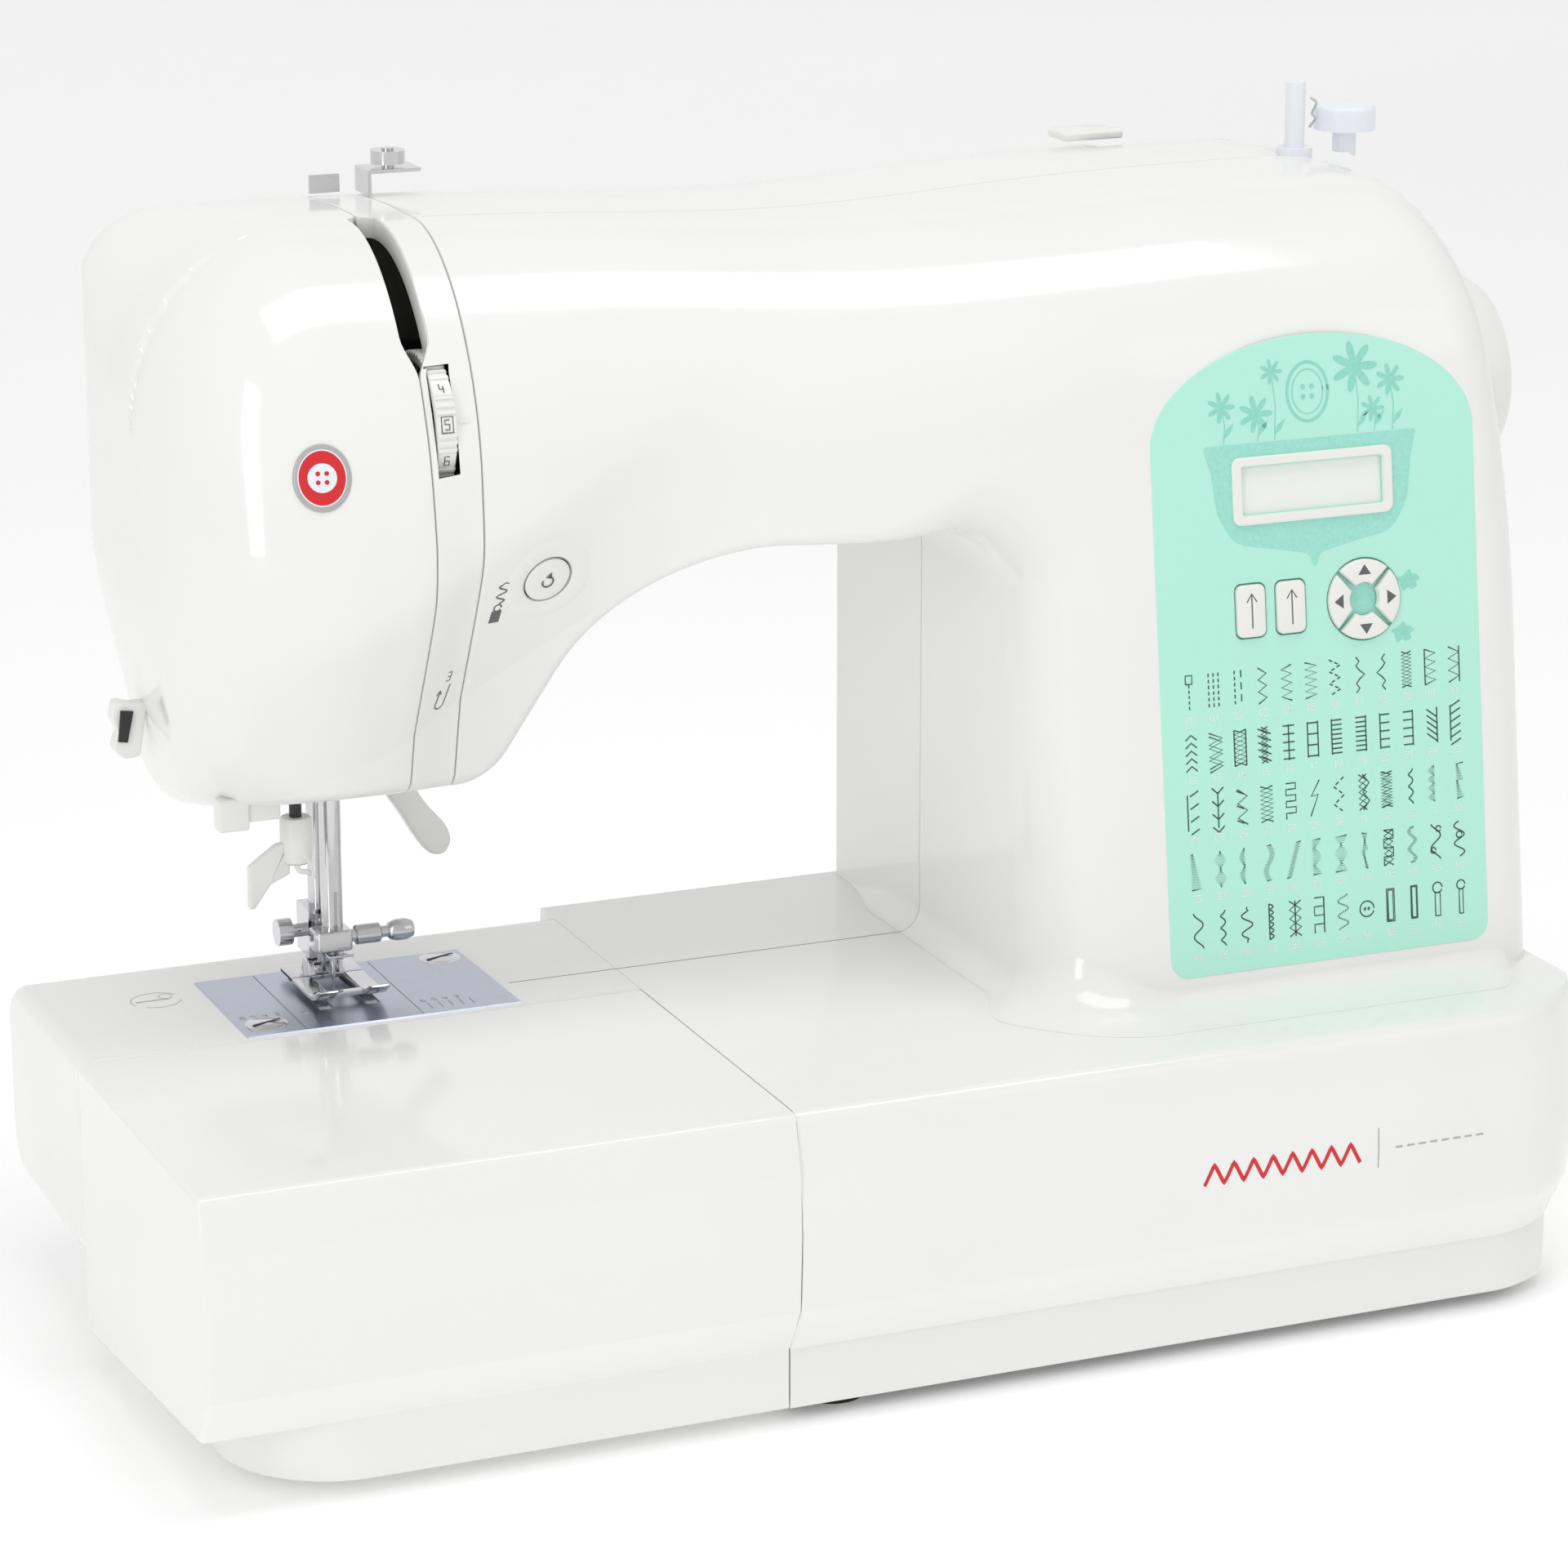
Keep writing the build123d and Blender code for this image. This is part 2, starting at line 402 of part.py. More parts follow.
def drive_train():
    """Handwheel, arm shaft, motor, belts, lower shaft, hook and bobbin."""
    wheel = rod_x(SHAFT_Y, SHAFT_Z, 30, 231, 249) + rod_x(SHAFT_Y, SHAFT_Z, 27, 223.5, 232)
    wheel = fillet(wheel.edges().group_by(Axis.X)[-1], 4)
    grips = []
    for i in range(24):
        grips.append(Pos(0, SHAFT_Y, SHAFT_Z) * Rot(i * 15, 0, 0) * rod_x(0, 31.0, 1.8, 230, 250))
    wheel = cut(wheel, grips)
    wheel = wheel + rod_x(SHAFT_Y, SHAFT_Z, 10, 215.5, 224) - rod_x(SHAFT_Y, SHAFT_Z, SHAFT_R, 200, 240)
    shaft = rod_x(SHAFT_Y, SHAFT_Z, SHAFT_R, -98, 240)
    shaft = shaft + rod_x(SHAFT_Y, SHAFT_Z, SHAFT_PULLEY_R, 151, 159)
    shaft = shaft + rod_x(SHAFT_Y, SHAFT_Z, TIMING_TOP_R, 168, 176)
    crank = rod_x(SHAFT_Y, SHAFT_Z, 16, -106, -98.05) + rod_x(SHAFT_Y, SHAFT_Z + 11.5, 3, -109.2, -105)

    motor = rod_x(SHAFT_Y, MOTOR_Z, 27, 84, 146) + block(90, 140, 60, 78.6, MOTOR_Z - 14, MOTOR_Z + 14)
    motor = motor - rod_x(SHAFT_Y, MOTOR_Z, 3.05, 130, 150)
    pulley = rod_x(SHAFT_Y, MOTOR_Z, 3, 132, 163) + rod_x(SHAFT_Y, MOTOR_Z, MOTOR_PULLEY_R, 151, 159)

    lower = rod_x(LOWER_Y, LOWER_Z, LOWER_R, -108, 192) + rod_x(LOWER_Y, LOWER_Z, TIMING_LOW_R, 168, 176)
    bevel = Pos(-110.5, LOWER_Y, LOWER_Z) * Rot(0, -90, 0) * Cone(11.4, 6.6, 5)
    lower = lower + bevel + rod_x(LOWER_Y, LOWER_Z, 7, -108.2, -103)
    hook = rod_y(NEEDLE_X, LOWER_Z, 17.2, 57, 65.5) - rod_y(NEEDLE_X, LOWER_Z, 14.6, 50, 62)
    hook = hook - block(NEEDLE_X, NEEDLE_X + 10, 50, 62, LOWER_Z + 8, LOWER_Z + 20)
    hook = hook + rod_y(NEEDLE_X, LOWER_Z, LOWER_R, 65, 79)
    hook = hook + Pos(NEEDLE_X, 76.5, LOWER_Z) * Rot(-90, 0, 0) * Cone(11.4, 6.6, 5)
    case = rod_y(NEEDLE_X, LOWER_Z, 14, 37, 50) - rod_y(NEEDLE_X, LOWER_Z, 11.4, 30, 48.6)
    case = case + rod_y(NEEDLE_X, LOWER_Z, 2.5, 38, 49) + block(-122, -118, 38, 45, 44.2, 50)
    bobbin = rod_y(NEEDLE_X, LOWER_Z, 6, 38.8, 48.2)
    bobbin = bobbin + rod_y(NEEDLE_X, LOWER_Z, 10.2, 38.8, 39.8)
    bobbin = bobbin + rod_y(NEEDLE_X, LOWER_Z, 10.2, 47.2, 48.2)
    bobbin = bobbin - rod_y(NEEDLE_X, LOWER_Z, 2.6, 30, 60)
    belts = [belt(SHAFT_Y, SHAFT_Z, SHAFT_PULLEY_R, SHAFT_Y, MOTOR_Z, MOTOR_PULLEY_R, 151.5, 158.5),
             belt(SHAFT_Y, SHAFT_Z, TIMING_TOP_R, LOWER_Y, LOWER_Z, TIMING_LOW_R, 168.5, 175.5)]
    return {
        "handwheel": wheel,
        "arm_shaft": shaft,
        "needle_crank": crank,
        "main_motor": motor,
        "motor_pulley": pulley,
        "lower_shaft": lower,
        "shuttle_hook": hook,
        "bobbin_case": case,
        "bobbin": bobbin,
        "drive_belts": Compound(belts),
    }


def needle_parts():
    """Everything the head carries above the needle plate."""
    x, y = NEEDLE_X, NEEDLE_Y
    frame = block(x - 8, x + 8, 57.5, 61.8, 168, 276) + rod_y(x, SWING_Z, 4, 61, 84)
    for z0, z1 in ((170, 182), (212, 222)):
        frame = frame + (block(x - 6, x + 6, 46, 58, z0, z1) - rod_z(x, y, 3.2 + RUN, 160, 230))
    bar = rod_z(x, y, 3.2, 107, 236) - block(x - 0.7, x + 0.7, 49, 51.5, 112, 124)
    clamp = block(x - 6.5, x + 5, 48.2, 57.0, 106, 112.5) - rod_z(x, y, 3.2, 107, 120)
    clamp = fillet(clamp.edges().filter_by(Axis.Z).group_by(Axis.X)[0], 2)
    clamp = clamp - rod_x(y - 0.5, 109.4, 2.0, x + 3.4, x + 6) - rod_z(x, y, 1.03, 100, 110)
    screw = rod_x(y - 0.5, 109.4, 1.95, x + 3.5, x + 7) + rod_x(y - 0.5, 109.4, 2.9, x + 6.5, x + 15)
    screw = screw + rod_x(y - 0.5, 109.4, 1.8, x + 14.5, x + 17) + fillet(
        rod_x(y - 0.5, 109.4, 3.2, x + 16.5, x + 25).edges(), 1.5)
    needle = rod_z(x, y, 1.0, 101, 107) + rod_z(x, y, 0.5, 90.5, 102)
    needle = needle + Pos(x, y, 89.25) * Cone(0.12, 0.5, 2.5)

    presser = rod_z(x, PRESSER_Y, 3, 104, 224)
    holder = block(x - 5, x + 5, PRESSER_Y - 6, PRESSER_Y + 5.5, 101.5, 116)
    holder = holder - rod_z(x, PRESSER_Y, 3, 104, 130)
    holder = holder + block(x - 3.4, x + 3.4, 57.5, 61, 101.5, 114)
    holder = holder + block(x - 2.6, x + 2.6, 57.5, 66, 97.6, 102)
    holder = holder - rod_x(FOOT_PIVOT_Y, FOOT_PIVOT_Z, 1.3, x - 9, x + 9)
    holder = holder + rod_x(PRESSER_Y, 108.5, 2, x - 9, x - 4.8)
    holder = holder + rod_x(PRESSER_Y, 108.5, 4, x - 13, x - 8.8)
    foot = block(x - 11, x - 4.7, 38, 71, 94.7, 96.7) + block(x + 4.7, x + 12, 38, 71, 94.7, 96.7)
    foot = foot + block(x - 11, x + 12, 58, 71, 94.7, 96.7) + block(x - 11, x + 12, 38, 43.5, 94.7, 96.7)
    foot = foot - block(x - 0.8, x + 0.8, 30, 44, 94, 98)
    for side in (-1, 1):
        toe_x = x + side * 7.95 - 3.25
        toe = prism([(toe_x, 39, 94.7), (toe_x, 39, 96.7), (toe_x, 32.5, 99.8), (toe_x, 32.0, 98.4)],
                    (1, 0, 0), 6.5)
        foot = foot + toe
        foot = foot + block(x + side * 4.6 - 1.1, x + side * 4.6 + 1.1, 58.5, 67, 96, 101.0)
    foot = foot + rod_x(FOOT_PIVOT_Y, FOOT_PIVOT_Z, 1.2, x - 5, x + 5)

    take_up = block(-111.5, -109.6, -4, 4, 0, 50)
    take_up = take_up - rod_x(0, 45, 1.2, -120, -100)
    take_up = Pos(0, TAKE_UP_Y, TAKE_UP_Z) * Rot(49.6, 0, 0) * take_up
    take_up = take_up + rod_x(TAKE_UP_Y, TAKE_UP_Z, 5, -111.5, -109.6)
    take_up = take_up + rod_x(TAKE_UP_Y, TAKE_UP_Z, 2.5, -110, -84)

    lifter = rod_y(LIFTER_X, LIFTER_Z, 5, 70, 76) + rod_y(LIFTER_X, LIFTER_Z, 3, 76, 86)
    path = [(LIFTER_X - 4, LIFTER_Z - 2), (LIFTER_X + 4, LIFTER_Z + 2), (-88, 146), (-76, 128), (-81, 124),
            (-87, 128), (-95, 143)]
    lifter = lifter + prism([(px, 70, pz) for px, pz in path], (0, 1, 0), 6)
    return {
        "needle_bar_frame": frame,
        "needle_bar": bar,
        "needle_clamp": clamp,
        "needle_clamp_screw": screw,
        "needle": needle,
        "presser_bar": presser,
        "foot_holder": holder,
        "presser_foot": foot,
        "take_up_lever": take_up,
        "presser_lifter": lifter,
    }


def feed_parts():
    """Feed bar that moves back and forth, and the toothed feed dog that it carries."""
    bar = block(-134, -106, 35, 71, 84.4, 86.6) - block(-126, -114, 43, 60, 80, 90)
    dog = block(-130, -110, 40, 66, 87.8, 89.2) - block(-125, -115, 48, 58, 80, 95)
    for x in DOG_ROWS:
        dog = dog + block(x - 1.6, x + 1.6, 40.5, 65.5, 88, 92.2)
        for i in range(12):
            y = 41.0 + i * 2.0
            tooth = [(x - 1.6, y, 92.0), (x - 1.6, y + 1.9, 92.0), (x - 1.6, y + 1.6, 93.2)]
            dog = dog + prism(tooth, (1, 0, 0), 3.2)
    return {"feed_bar": bar, "feed_dog": dog}


def head_controls():
    """Tension dial and its unit, reverse button, buttonhole lever, needle threader and thread cutter."""
    dial = rod_x(DIAL_Y, DIAL_Z, DIAL_R, -108.4, -101.6) - rod_x(DIAL_Y, DIAL_Z, 4 + RUN, -110, -100)
    tension = rod_x(DIAL_Y, DIAL_Z, 4, -109.2, -90)
    tension = tension + block(-92, -90, DIAL_Y - 6, 29, DIAL_Z - 8, DIAL_Z + 4)
    for x in (-98.5, -96.5):
        tension = tension + rod_x(DIAL_Y, DIAL_Z, 12, x, x + 1.5)
    button = rod_y(BUTTON_X, BUTTON_Z, BUTTON_R, -18.0, -2) + rod_y(BUTTON_X, BUTTON_Z, 8.4, -3, -1)
    lever = block(-160.5, -142, 28, 32, 151, 205) + block(-160.5, -142, 26.8, 33.2, 147.5, 152.5)
    post = rod_z(THREADER_X, THREADER_Y, 1.8, 146, 232)
    arm = block(-138, -129, 40.5, 47.5, 133, 150) - rod_z(THREADER_X, THREADER_Y, 1.8, 146, 151)
    arm = arm + prism([(-137, 41, 141), (-148, 41, 134), (-148, 41, 124), (-137, 41, 131)], (0, 1, 0), 3)
    arm = arm + block(-134.5, -129, 42, 46, 127, 134)
    cutter = block(-186, -170, 52, 66, 168, 186) - OUTER_UPPER
    cutter = cutter - Pos(-186, 59, 184) * Rot(0, 35, 0) * Box(8, 2.4, 14)
    return {
        "tension_dial": dial,
        "tension_unit": tension,
        "reverse_button": button,
        "buttonhole_lever": lever,
        "threader_post": post,
        "threader_arm": arm,
        "thread_cutter": cutter,
    }


def top_parts():
    """Thread guides, spool pin and cap, bobbin winder and its stop."""
    bracket = block(-96, -95, 77, 89, 317, 328.6) + block(-96, -80, 77, 89, 327.6, 328.6) - OUTER_UPPER
    stud = rod_z(-88, 83, 1.8, 328.6, 334) + rod_z(-88, 83, 5, 329.6, 333.4)
    rear_guide = (block(-110, -101, 88, 89, 316, 326.5)) - OUTER_UPPER
    pin = rod_x(SPOOL_Y, SPOOL_Z, 3.2, 138, 197) + rod_x(SPOOL_Y, SPOOL_Z, 6, 138, 141)
    cap = rod_x(SPOOL_Y, SPOOL_Z, 11, 172, 174) + rod_x(SPOOL_Y, SPOOL_Z, 5.5, 174, 181)
    cap = cap - rod_x(SPOOL_Y, SPOOL_Z, 3.2 + RUN, 160, 200)
    carriage = block(178, 194, 30, 54, 309, 313.5) - rod_z(WINDER_X, WINDER_Y, 3.5, 300, 320)
    winder = rod_z(WINDER_X, WINDER_Y, 3, 292, 343) + rod_z(WINDER_X, WINDER_Y, 3.5 - RUN, 309, 313.5)
    winder = winder + rod_z(WINDER_X, WINDER_Y, 5.5, 318.9, 323.5) + rod_z(WINDER_X, WINDER_Y, 9, 296, 304)
    stop = rod_z(STOP_X, WINDER_Y, 3.6, 312, 329) + rod_z(STOP_X, WINDER_Y, 9.3, 328, 335.5)
    stop = fillet(stop.edges().group_by(Axis.Z)[-1], 1.5) - OUTER_UPPER
    return {
        "thread_guides": Compound([bracket + stud, rear_guide]),
        "spool_pin": pin,
        "spool_cap": cap,
        "winder_carriage": carriage,
        "winder_shaft": winder,
        "bobbin_stop": stop,
    }


def controls_and_electrics():
    """Panel, keys, display, circuit board, mains inlet, switch, feed lever and screws."""
    panel = cut(on_panel() * panel_plate(PANEL_W, PANEL_H, PANEL_T), CONTROL_HOLES)
    made = {"control_panel": panel}
    for name, body in key_bodies(0.0, 7.0).items():
        made[name] = on_panel(0, -1.6, 0) * body
    window = rounded_block(DISPLAY_SIZE[0], 4.5, DISPLAY_SIZE[1], 2.7)
    window = window - Pos(0, -1, 0) * rounded_block(DISPLAY_SIZE[0] - 6, 2.4, DISPLAY_SIZE[1] - 6, 1.5)
    made["display_window"] = on_panel(DISPLAY_AT[0], -0.6, DISPLAY_AT[1]) * window
    made["control_board"] = on_panel(0, 8.0, 20) * (Pos(0, 0.8, 0) * Box(84, 1.6, 110)
                                                    + Pos(-1, -1.2, 30) * Box(50, 2.4, 16))
    inlet = block(206, 221.6, 50.3, 75.7, 46.3, 69.7) - block(211, 225, 53, 73, 50, 66)
    made["power_inlet"] = inlet + rod_x(59, 57, 1.2, 210, 218) + rod_x(67, 57, 1.2, 210, 218)
    rocker = block(216, 222.4, 83.5, 94.5, 48, 68)
    rocker = fillet(rocker.edges().filter_by(Axis.Y).group_by(Axis.X)[-1], 2)
    made["power_switch"] = rocker + rod_y(216, 58, 1.6, 83.5, 94.5)
    lever = block(7, 13, 96, 109.5, 62.6, 67.4)
    made["drop_feed_lever"] = lever + block(-2, 22, 97, 99.5, 60, 70)
    screws = []
    for x, z in COVER_SCREWS:
        head = rod_y(x, z, 3.8, 99.05, 101.6) - block(x - 5, x + 5, 100.8, 102, z - 0.5, z + 0.5)
        screws.append(head + rod_y(x, z, 2, 92, 99.1))
    made["cover_screws"] = Compound(screws)
    return made


def assembly():
    """Every node of the machine, laid out about the middle of the table front."""
    nodes = {}
    for group in (casing, table_parts, castings, drive_train, needle_parts, feed_parts, head_controls, top_parts,
                  controls_and_electrics):
        nodes.update(group())
    return nodes


def main():
    """Moves the layout so that the origin is at the bottom centre of its box, and writes one file per node."""
    nodes = assembly()
    boxes = [body.bounding_box() for body in nodes.values()]
    low = Vector(min(b.min.X for b in boxes), min(b.min.Y for b in boxes), min(b.min.Z for b in boxes))
    high = Vector(max(b.max.X for b in boxes), max(b.max.Y for b in boxes), max(b.max.Z for b in boxes))
    centre = (low + high) / 2
    print("nodes", len(nodes), "size", high - low, "layout origin moved by", -centre.X, -centre.Y, -low.Z)
    for name, body in nodes.items():
        export_step(Pos(-centre.X, -centre.Y, -low.Z) * body, "parts/" + name + ".step")


main()
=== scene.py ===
"""Looks for a free-arm sewing machine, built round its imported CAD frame."""
import math

import bmesh
import bpy
import numpy as np
from bpy.props import FloatProperty, FloatVectorProperty, PointerProperty
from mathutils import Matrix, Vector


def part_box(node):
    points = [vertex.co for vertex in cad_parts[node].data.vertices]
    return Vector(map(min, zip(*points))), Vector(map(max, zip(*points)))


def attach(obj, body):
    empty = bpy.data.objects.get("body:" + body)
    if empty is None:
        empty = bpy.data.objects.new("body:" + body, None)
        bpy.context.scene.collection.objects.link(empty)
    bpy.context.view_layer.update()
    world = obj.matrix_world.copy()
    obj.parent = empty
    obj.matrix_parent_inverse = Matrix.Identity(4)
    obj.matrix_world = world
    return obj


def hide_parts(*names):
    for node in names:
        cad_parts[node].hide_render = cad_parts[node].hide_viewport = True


bl_info = {
    "name": "Sewing machine looks",
    "version": (1, 0, 0),
    "blender": (4, 5, 0),
    "location": "View3D > Sidebar > Sewing machine",
    "description": "Builds the casing, panel, needle gear and stage of a free-arm sewing machine",
    "category": "Object",
}

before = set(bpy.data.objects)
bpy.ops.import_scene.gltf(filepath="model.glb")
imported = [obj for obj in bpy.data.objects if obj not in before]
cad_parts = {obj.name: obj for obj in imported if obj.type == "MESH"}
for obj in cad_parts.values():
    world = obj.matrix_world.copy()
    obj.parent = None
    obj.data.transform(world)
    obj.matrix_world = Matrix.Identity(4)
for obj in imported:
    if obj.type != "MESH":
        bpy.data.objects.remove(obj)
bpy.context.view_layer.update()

# ---- the drawing: millimetres, x from the needle end to the wheel, y to the back, z up from the table ----
RIGHT_X, REAR_Y = 222.0, 107.0
SHIFT = np.array([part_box("front_cover")[1][0] - RIGHT_X / 1000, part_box("rear_cover")[1][1] - REAR_Y / 1000,
                  0.0])
LEFT_X, HEAD_LEFT_X = -205.0, -180.5
SPLIT_Y = 41.3
BED_Z = 92.5
TOP_Z = 321.8
HALF_SEAM = 0.22
STRIP_LEFT, STRIP_RIGHT = -110.0, -95.0
THROAT_TOP, THROAT_RIGHT = 231.5, 62.0
NEEDLE = (-120.0, 53.0)


# =====================================================================================================
# Shader maths
# =====================================================================================================
class Sock:
    """A shader socket that takes part in Python arithmetic by adding Math nodes."""

    def __init__(self, tree, link):
        self.tree, self.link = tree, link

    def _math(self, operation, first, second=None):
        """One maths node between this value and another."""
        return self.tree.add("ShaderNodeMath", {"operation": operation}, {0: first, 1: second})

    def __add__(self, other):
        return self._math("ADD", self, other)

    __radd__ = __add__

    def __mul__(self, other):
        return self._math("MULTIPLY", self, other)

    __rmul__ = __mul__

    def __sub__(self, other):
        return self._math("SUBTRACT", self, other)

    def __rsub__(self, other):
        return self._math("SUBTRACT", other, self)


class Shader:
    """A material's node tree: add() makes any node, surface() ends it in a Principled shader."""

    def __init__(self, name):
        self.material = bpy.data.materials.new(name)
        self.material.use_nodes = True
        self.tree = self.material.node_tree
        self.tree.nodes.clear()

    def add(self, kind, settings=None, inputs=None, out=0):
        """Adds a node and sets its inputs."""
        node = self.tree.nodes.new(kind)
        for key, value in (settings or {}).items():
            if key == "stops":
                ramp = node.color_ramp
                while len(ramp.elements) < len(value):
                    ramp.elements.new(0.5)
                for element, (place, colour) in zip(ramp.elements, value):
                    element.position, element.color = place, (*colour, 1.0)
            else:
                setattr(node, key, value)
        self.feed(node, inputs or {})
        return Sock(self, node.outputs[out])

    def feed(self, node, inputs):
        """Sets a socket from a number, a colour or another node."""
        for key, value in inputs.items():
            if isinstance(value, Sock):
                self.tree.links.new(value.link, node.inputs[key])
            elif value is not None:
                node.inputs[key].default_value = value

    def noise(self, scale, detail=2.0, stretch=(1, 1, 1)):
        """Noise in the Object coordinates."""
        place = self.add("ShaderNodeTexCoord", out=3)
        place = self.add("ShaderNodeMapping", None, {0: place, 3: stretch})
        return self.add("ShaderNodeTexNoise", None, {"Vector": place, "Scale": scale, "Detail": detail})

    def mix(self, factor, first, second):
        """Colour between two, by a factor."""
        settings = {"data_type": "RGBA"}
        return self.add("ShaderNodeMix", settings, {0: factor, 6: first, 7: second}, out=2)

    def bump(self, height, distance, strength=1.0):
        """Normal from a height."""
        return self.add("ShaderNodeBump", None, {"Height": height, "Distance": distance, "Strength": strength})

    def surface(self, **sockets):
        """Principled surface with the given inputs."""
        node = self.tree.nodes.new("ShaderNodeBsdfPrincipled")
        self.feed(node, {key.replace("_", " "): value for key, value in sockets.items()})
        end = self.tree.nodes.new("ShaderNodeOutputMaterial")
        self.tree.links.new(node.outputs[0], end.inputs[0])
        return self.material


def srgb(red, green, blue):
    """Linear colour of an 8-bit display colour."""
    values = [c / 255 for c in (red, green, blue)]
    return tuple(v / 12.92 if v <= 0.04045 else ((v + 0.055) / 1.055) ** 2.4 for v in values)


def rgba(colour, scale=1.0):
    """Colour with full opacity."""
    return (*[min(1.0, c * scale) for c in colour[:3]], 1.0)


def moulded_plastic(name, colour, roughness=0.12, grain=0.00001, coat=0.0):
    """Moulded plastic: faint colour drift, fine orange peel and slightly uneven gloss."""
    s = Shader(name)
    drift = s.noise(14.0)
    peel = s.noise(420.0, 1.0)
    tone = s.mix(drift, rgba(colour, 0.975), rgba(colour, 1.02))
    gloss = drift * 0.05 + (roughness - 0.02)
    return s.surface(Base_Color=tone, Roughness=gloss, IOR=1.5, Coat_Weight=coat, Coat_Roughness=0.03,
                     Normal=s.bump(peel, grain))


def printed_ink(name, colour):
    """Screen-printed ink: flat colour with a slightly starved film."""
    s = Shader(name)
    film = s.noise(900.0, 3.0)
    return s.surface(Base_Color=s.mix(film, rgba(colour, 0.88), rgba(colour, 1.12)),
                     Roughness=film * 0.12 + 0.28)


def plated_steel(name, colour, roughness=0.12):
    """Bright plating with a little haze."""
    s = Shader(name)
    haze = s.noise(160.0, 4.0)
    return s.surface(Base_Color=s.mix(haze, rgba(colour, 0.9), rgba(colour, 1.04)), Metallic=1.0,
                     Roughness=haze * 0.12 + (roughness - 0.06), Normal=s.bump(s.noise(700.0), 0.000006))


def ground_steel(name, colour, stretch):
    """Ground plate: fine scratches drawn out along one direction."""
    s = Shader(name)
    scratch = s.noise(60.0, 6.0, stretch)
    return s.surface(Base_Color=s.mix(scratch, rgba(colour, 0.82), rgba(colour, 1.06)), Metallic=1.0,
                     Roughness=scratch * 0.22 + 0.2, Normal=s.bump(scratch, 0.00001))


def cast_metal(name, colour):
    """Sand-cast metal with a pebbled skin."""
    s = Shader(name)
    pebble = s.noise(300.0, 5.0)
    return s.surface(Base_Color=s.mix(pebble, rgba(colour, 0.75), rgba(colour, 1.1)), Metallic=0.85,
                     Roughness=pebble * 0.2 + 0.4, Normal=s.bump(pebble, 0.00008))


def rubber(name, colour):
    """Matt rubber with a dusty bloom."""
    s = Shader(name)
    bloom = s.noise(120.0, 5.0)
    return s.surface(Base_Color=s.mix(bloom, rgba(colour), rgba(colour, 1.9)), Roughness=bloom * 0.2 + 0.62,
                     Normal=s.bump(s.noise(900.0), 0.00003))


MATERIALS = {}


def finish(name):
    """A named finish, made once."""
    if name not in MATERIALS:
        MATERIALS[name] = FINISHES[name](name)
    return MATERIALS[name]


def looks():
    """The scene's colours and light, as set in the panel."""
    return bpy.context.scene.sewing_looks


FINISHES = {
    "casing_gloss": lambda n: moulded_plastic(n, looks().casing, 0.10),
    "strip_gloss": lambda n: moulded_plastic(n, looks().casing, 0.16),
    "trim_satin": lambda n: moulded_plastic(n, srgb(238, 238, 234), 0.28, 0.00002),
    "clear_white": lambda n: moulded_plastic(n, srgb(236, 238, 246), 0.18),
    "mint_print": lambda n: moulded_plastic(n, looks().panel, 0.2, 0.000006),
    "mint_deep": lambda n: printed_ink(n, srgb(158, 224, 208)),
    "mint_flower": lambda n: printed_ink(n, srgb(146, 217, 198)),
    "chart_ink": lambda n: printed_ink(n, srgb(58, 84, 80)),
    "chart_number": lambda n: printed_ink(n, srgb(232, 246, 240)),
    "grey_ink": lambda n: printed_ink(n, srgb(96, 96, 100)),
    "pale_ink": lambda n: printed_ink(n, srgb(176, 176, 180)),
    "red_ink": lambda n: printed_ink(n, srgb(214, 32, 42)),
    "badge_grey": lambda n: moulded_plastic(n, srgb(176, 176, 176), 0.2),
    "badge_red": lambda n: moulded_plastic(n, srgb(214, 18, 30), 0.1, coat=0.6),
    "display_glass": lambda n: moulded_plastic(n, srgb(240, 243, 238), 0.06, 0.000002, coat=0.5),
    # dark colour laid where the shade inside a seam gap or a screw slot falls: painted shade
    "dark_gap": lambda n: rubber(n, srgb(52, 52, 54)),
    "plate_steel": lambda n: ground_steel(n, srgb(192, 198, 210), (1, 30, 1)),
    "bright_steel": lambda n: plated_steel(n, srgb(214, 214, 216)),
    "bar_steel": lambda n: plated_steel(n, srgb(176, 174, 172), 0.16),
    "cast_frame": lambda n: cast_metal(n, srgb(150, 152, 156)),
    "motor_paint": lambda n: cast_metal(n, srgb(70, 72, 76)),
    "bronze": lambda n: plated_steel(n, srgb(170, 130, 80), 0.3),
    "black_plastic": lambda n: moulded_plastic(n, srgb(34, 34, 36), 0.35, 0.00003),
    "black_rubber": lambda n: rubber(n, srgb(30, 30, 32)),
    "board_green": lambda n: moulded_plastic(n, srgb(36, 96, 58), 0.35, 0.00004),
    "bottom_grey": lambda n: moulded_plastic(n, srgb(206, 206, 206), 0.4, 0.00005),
}


# =====================================================================================================
# Meshes
# =====================================================================================================
def open_box(work, low, high):
    """Splits a mesh along the sides of a box and removes what lies inside it, so that the edge is straight."""
    def touching():
        """Faces that reach the box."""
        found = []
        for face in work.faces:
            at = np.array([v.co for v in face.verts])
            if (at.max(0) > low - 1e-5).all() and (at.min(0) < high + 1e-5).all():
                found.append(face)
        return found

    for axis in range(3):
        for value in (low[axis], high[axis]):
            near = touching()
            edges = {e for f in near for e in f.edges}
            verts = {v for f in near for v in f.verts}
            spot, way = [0.0] * 3, [0.0] * 3
            spot[axis], way[axis] = value, 1.0
            bmesh.ops.bisect_plane(work, geom=[*near, *edges, *verts], plane_co=spot, plane_no=way)
    gone = []
    for face in touching():
        middle = np.array(face.calc_center_median())
        if (middle > low).all() and (middle < high).all():
            gone.append(face)
    bmesh.ops.delete(work, geom=gone, context="FACES")


